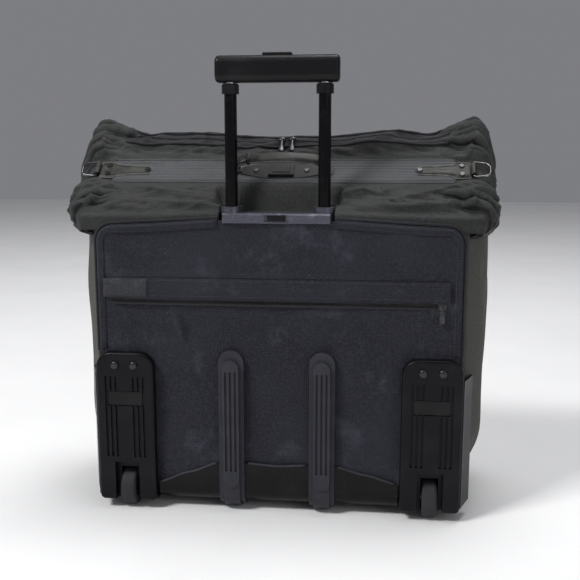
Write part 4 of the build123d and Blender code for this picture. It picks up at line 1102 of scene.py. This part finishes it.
def make_tabs():
    """Each leather tab with its edge, its stitches and the loop that holds its D-ring."""
    for side, name in SIDES:
        def surface(u, v, side=side):
            x = mix(0.2076, 0.2920, u)
            across = 2 * v - 1
            width = tab_width(x)
            h = 0.0052 - 0.0022 * abs(across) ** 5 - 0.0012 * smooth(1 - u * 12)
            return on_slope(side * x, MID_S + across * width, h + 0.0003 * rough_noise(x * 60, v * 5))

        sheet_piece(f"leather_tab_{name}", surface, 46, 19, LEATHER,
                    ["leather_tabs"] if side < 0 else (), thickness=0.0028)
        rim = [surface(i / 60, 0.0) for i in range(61)] + [surface(1 - i / 60, 1.0) for i in range(61)]
        tube_piece(f"tab_edge_{name}", [p + OFF_SLOPE * 0.0004 for p in rim], 0.0013, LEATHER_EDGE,
                   closed=True, sides=8)
        inner = []
        for v in (0.16, 0.84):
            inner.append([surface(mix(0.06, 0.97, i / 60), v) + OFF_SLOPE * 0.0004 for i in range(61)])
        stitch_row(f"tab_stitches_{name}", inner, OFF_SLOPE, pitch=0.0036, length=0.0024,
                   width=0.0009)

        def loop(u, v, side=side):
            turn = 2 * math.pi * v
            middle = on_slope(side * 0.297, mix(MID_S - 0.0115, MID_S + 0.0115, u), 0.0062)
            return middle + (OFF_SLOPE * math.sin(turn) + ACROSS * math.cos(turn)) * 0.0042

        sheet_piece(f"tab_loop_{name}", loop, 8, 20, LEATHER, thickness=0.0021, wrap=True)


# the carry handle's middle line: x and the height off the slope
ARCH = [(-0.0680, 0.0096), (-0.0672, 0.0170), (-0.0615, 0.0245), (-0.0500, 0.0288), (-0.0330, 0.0306),
        (0.0, 0.0325), (0.0330, 0.0306), (0.0500, 0.0288), (0.0615, 0.0245), (0.0672, 0.0170),
        (0.0680, 0.0096)]


def arch_point(t):
    """A point of the carry handle's middle line, by a smooth curve through its stations."""
    f = t * (len(ARCH) - 1)
    i = min(len(ARCH) - 2, int(f))
    u = f - i
    p = [ARCH[max(0, i - 1)], ARCH[i], ARCH[i + 1], ARCH[min(len(ARCH) - 1, i + 2)]]
    out = []
    for k in range(2):
        a, b, c, d = (q[k] for q in p)
        out.append(0.5 * (2 * b + (c - a) * u + (2 * a - 5 * b + 4 * c - d) * u * u
                          + (3 * b - a - 3 * c + d) * u ** 3))
    return Vector((out[0], 0, out[1]))


def arch_frame(t):
    """The middle line's place, direction and normal at t."""
    here = arch_point(t)
    along = (arch_point(min(1, t + 0.004)) - arch_point(max(0, t - 0.004))).normalized()
    normal = Vector((-along.z, 0, along.x))
    return here, along, normal


def handle_surface(t, v, grow=0.0):
    """A point of the handle's skin: t along it and v round it."""
    here, _, normal = arch_frame(t)
    turn = 2 * math.pi * v
    c, s = math.cos(turn), math.sin(turn)
    wide = mix(0.0044, 0.0095, smooth(min(t, 1 - t) * 9)) + grow
    thick = 0.0042 + 0.0006 * math.sin(math.pi * t) + grow
    across = wide * math.copysign(abs(c) ** 0.55, c)
    off = thick * math.copysign(abs(s) ** 0.75, s)
    q = here + normal * off
    return on_slope(q.x, MID_S + across, q.z)


def make_carry_handle():
    """The leather handle with its edges, stitches, keeper and end pins."""
    sheet_rows, sheet_columns = 90, 32
    verts = [handle_surface(i / (sheet_rows - 1), j / sheet_columns) for i in range(sheet_rows)
             for j in range(sheet_columns)]
    faces = grid_faces(sheet_rows, sheet_columns, wrap=True)
    faces.append(tuple(range(sheet_columns)))
    faces.append(tuple((sheet_rows - 1) * sheet_columns + j for j in range(sheet_columns)))
    make_object("carry_handle_leather", verts, faces, LEATHER, ["carry_handle"],
                body="carry_handle")
    for name, v in (("handle_edge_low", 0.5), ("handle_edge_high", 0.0)):
        path = [handle_surface(mix(0.05, 0.95, i / 80), v) for i in range(81)]
        tube_piece(name, path, 0.0012, LEATHER_EDGE, sides=8, body="carry_handle")
    rows = []
    for v in (0.11, 0.39):
        rows.append([handle_surface(mix(0.08, 0.92, i / 80), v, 0.0004) for i in range(81)])
    stitch_row("handle_stitches", rows, OFF_SLOPE, pitch=0.0042, length=0.003,
               body="carry_handle")

    def keeper(u, v):
        return handle_surface(mix(0.285, 0.325, u), v, 0.0013 * math.sin(math.pi * mix(0.1, 0.9, u)) ** 0.4)

    sheet_piece("handle_keeper", keeper, 10, 32, LEATHER, thickness=0.001, wrap=True,
                body="carry_handle")
    for name, x0 in (("handle_pin_left", -0.0775), ("handle_pin_right", 0.0615)):
        path = [on_slope(mix(x0, x0 + 0.016, i / 6), MID_S, 0.0096) for i in range(7)]
        tube_piece(name, path, 0.0019, STEEL, sides=14, body="carry_handle")


# ---- inside and small trim
def make_lining():
    """The sheet over the inside of the back board, with round bottom corners."""
    half = LINING_HIGH[0]
    corner = 0.060

    def point(u, v):
        z = mix(LINING_LOW[2], LINING_HIGH[2], u)
        short = max(0.0, LINING_LOW[2] + corner - z)
        width = half - corner + math.sqrt(max(0.0, corner ** 2 - short ** 2))
        x = mix(-width, width, v)
        return Vector((x, LINING_LOW[1] + 0.0015 + 0.0014 * rough_noise(x * 9, z * 6, 2.0), z))

    lining = sheet_piece("lining_sheet", point, 60, 70, LINING_CLOTH, ["inner_lining"],
                         thickness=0.0008)


# the kick plate's upper edge: x and z
KICK_EDGE = [(-0.189, 0.0445), (-0.140, 0.0625), (-0.091, 0.0805), (-0.061, 0.0815), (0.0, 0.0775),
             (0.061, 0.0815), (0.091, 0.0805), (0.140, 0.0685), (0.189, 0.0555)]


def make_kick_welt():
    """A welt on the kick plate's upper edge, in three parts that leave the skids clear."""
    path = []
    for (xa, za), (xb, zb) in zip(KICK_EDGE, KICK_EDGE[1:]):
        for i in range(12):
            x = mix(xa, xb, i / 12)
            z = mix(za, zb, smooth(i / 12) * 0.5 + i / 24)
            path.append(Vector((x, BACK_Y - 0.0017, z)))
    clear = ([p for p in path if p.x < -0.092],
             [p for p in path if abs(p.x) < 0.050],
             [p for p in path if p.x > 0.092])
    for k, part in enumerate(clear):
        tube_piece(f"kick_welt_{k}", part, 0.0019, SKID_PLASTIC)


# ---- light, floor and camera
def make_studio():
    """A pale floor, a dim bluish sky and three large lamps."""
    world = bpy.data.worlds.new("studio")
    bpy.context.scene.world = world
    world.use_nodes = True
    sky = world.node_tree.nodes["Background"]
    sky.inputs["Color"].default_value = (0.93, 0.94, 1.0, 1)
    sky.inputs["Strength"].default_value = 0.22
    floor_mat, tree, shader = new_material("floor", (0.86, 0.86, 0.86), 0.7)
    tree.links.new(ramp(tree, noise_value(tree, place(tree), 3.0), (0.3, 0.84), (0.7, 0.88)),
                   shader.inputs["Base Color"])
    mesh = bpy.data.meshes.new("floor")
    mesh.from_pydata([(-8, -8, 0), (8, -8, 0), (8, 8, 0), (-8, 8, 0)], [], [(0, 1, 2, 3)])
    floor = bpy.data.objects.new("floor", mesh)
    bpy.context.collection.objects.link(floor)
    floor.data.materials.append(floor_mat)
    lamps = [("key", (-2.6, -2.2, 4.0), 175, 1.1), ("fill", (3.8, -3.6, 2.4), 34, 2.6),
             ("top", (0.6, 0.6, 4.6), 115, 2.2)]
    for name, spot, power, size in lamps:
        data = bpy.data.lights.new(name, "AREA")
        data.energy = power
        data.size = size
        lamp = bpy.data.objects.new(name, data)
        lamp.location = spot
        lamp.rotation_euler = (Vector((0, 0, 0.35)) - Vector(spot)).to_track_quat("-Z", "Y").to_euler()
        bpy.context.collection.objects.link(lamp)


def make_camera():
    """The view from the handle side, a little to the right of and above the panel."""
    data = bpy.data.cameras.new("camera")
    data.lens = 50.5
    data.sensor_width = 36.0
    camera = bpy.data.objects.new("camera", data)
    camera.location = (0.149, -1.330, 0.569)
    camera.rotation_euler = Vector((-0.1035, 0.9802, -0.1690)).to_track_quat("-Z", "Y").to_euler()
    bpy.context.collection.objects.link(camera)
    bpy.context.scene.camera = camera


bpy.context.scene.view_settings.view_transform = "Standard"
make_camera()
make_studio()
dress_cad_nodes()
make_back_panel()
make_panel_edge()
make_flap()
make_pocket_zip()
make_front_half()
make_front_pocket()
make_back_gussets()
make_wheel_covers()
make_main_zip()
make_upper_fold()
make_ear_pleats()
make_crest()
make_fold_hinge()
make_band()
make_tabs()
make_carry_handle()
make_lining()
make_kick_welt()
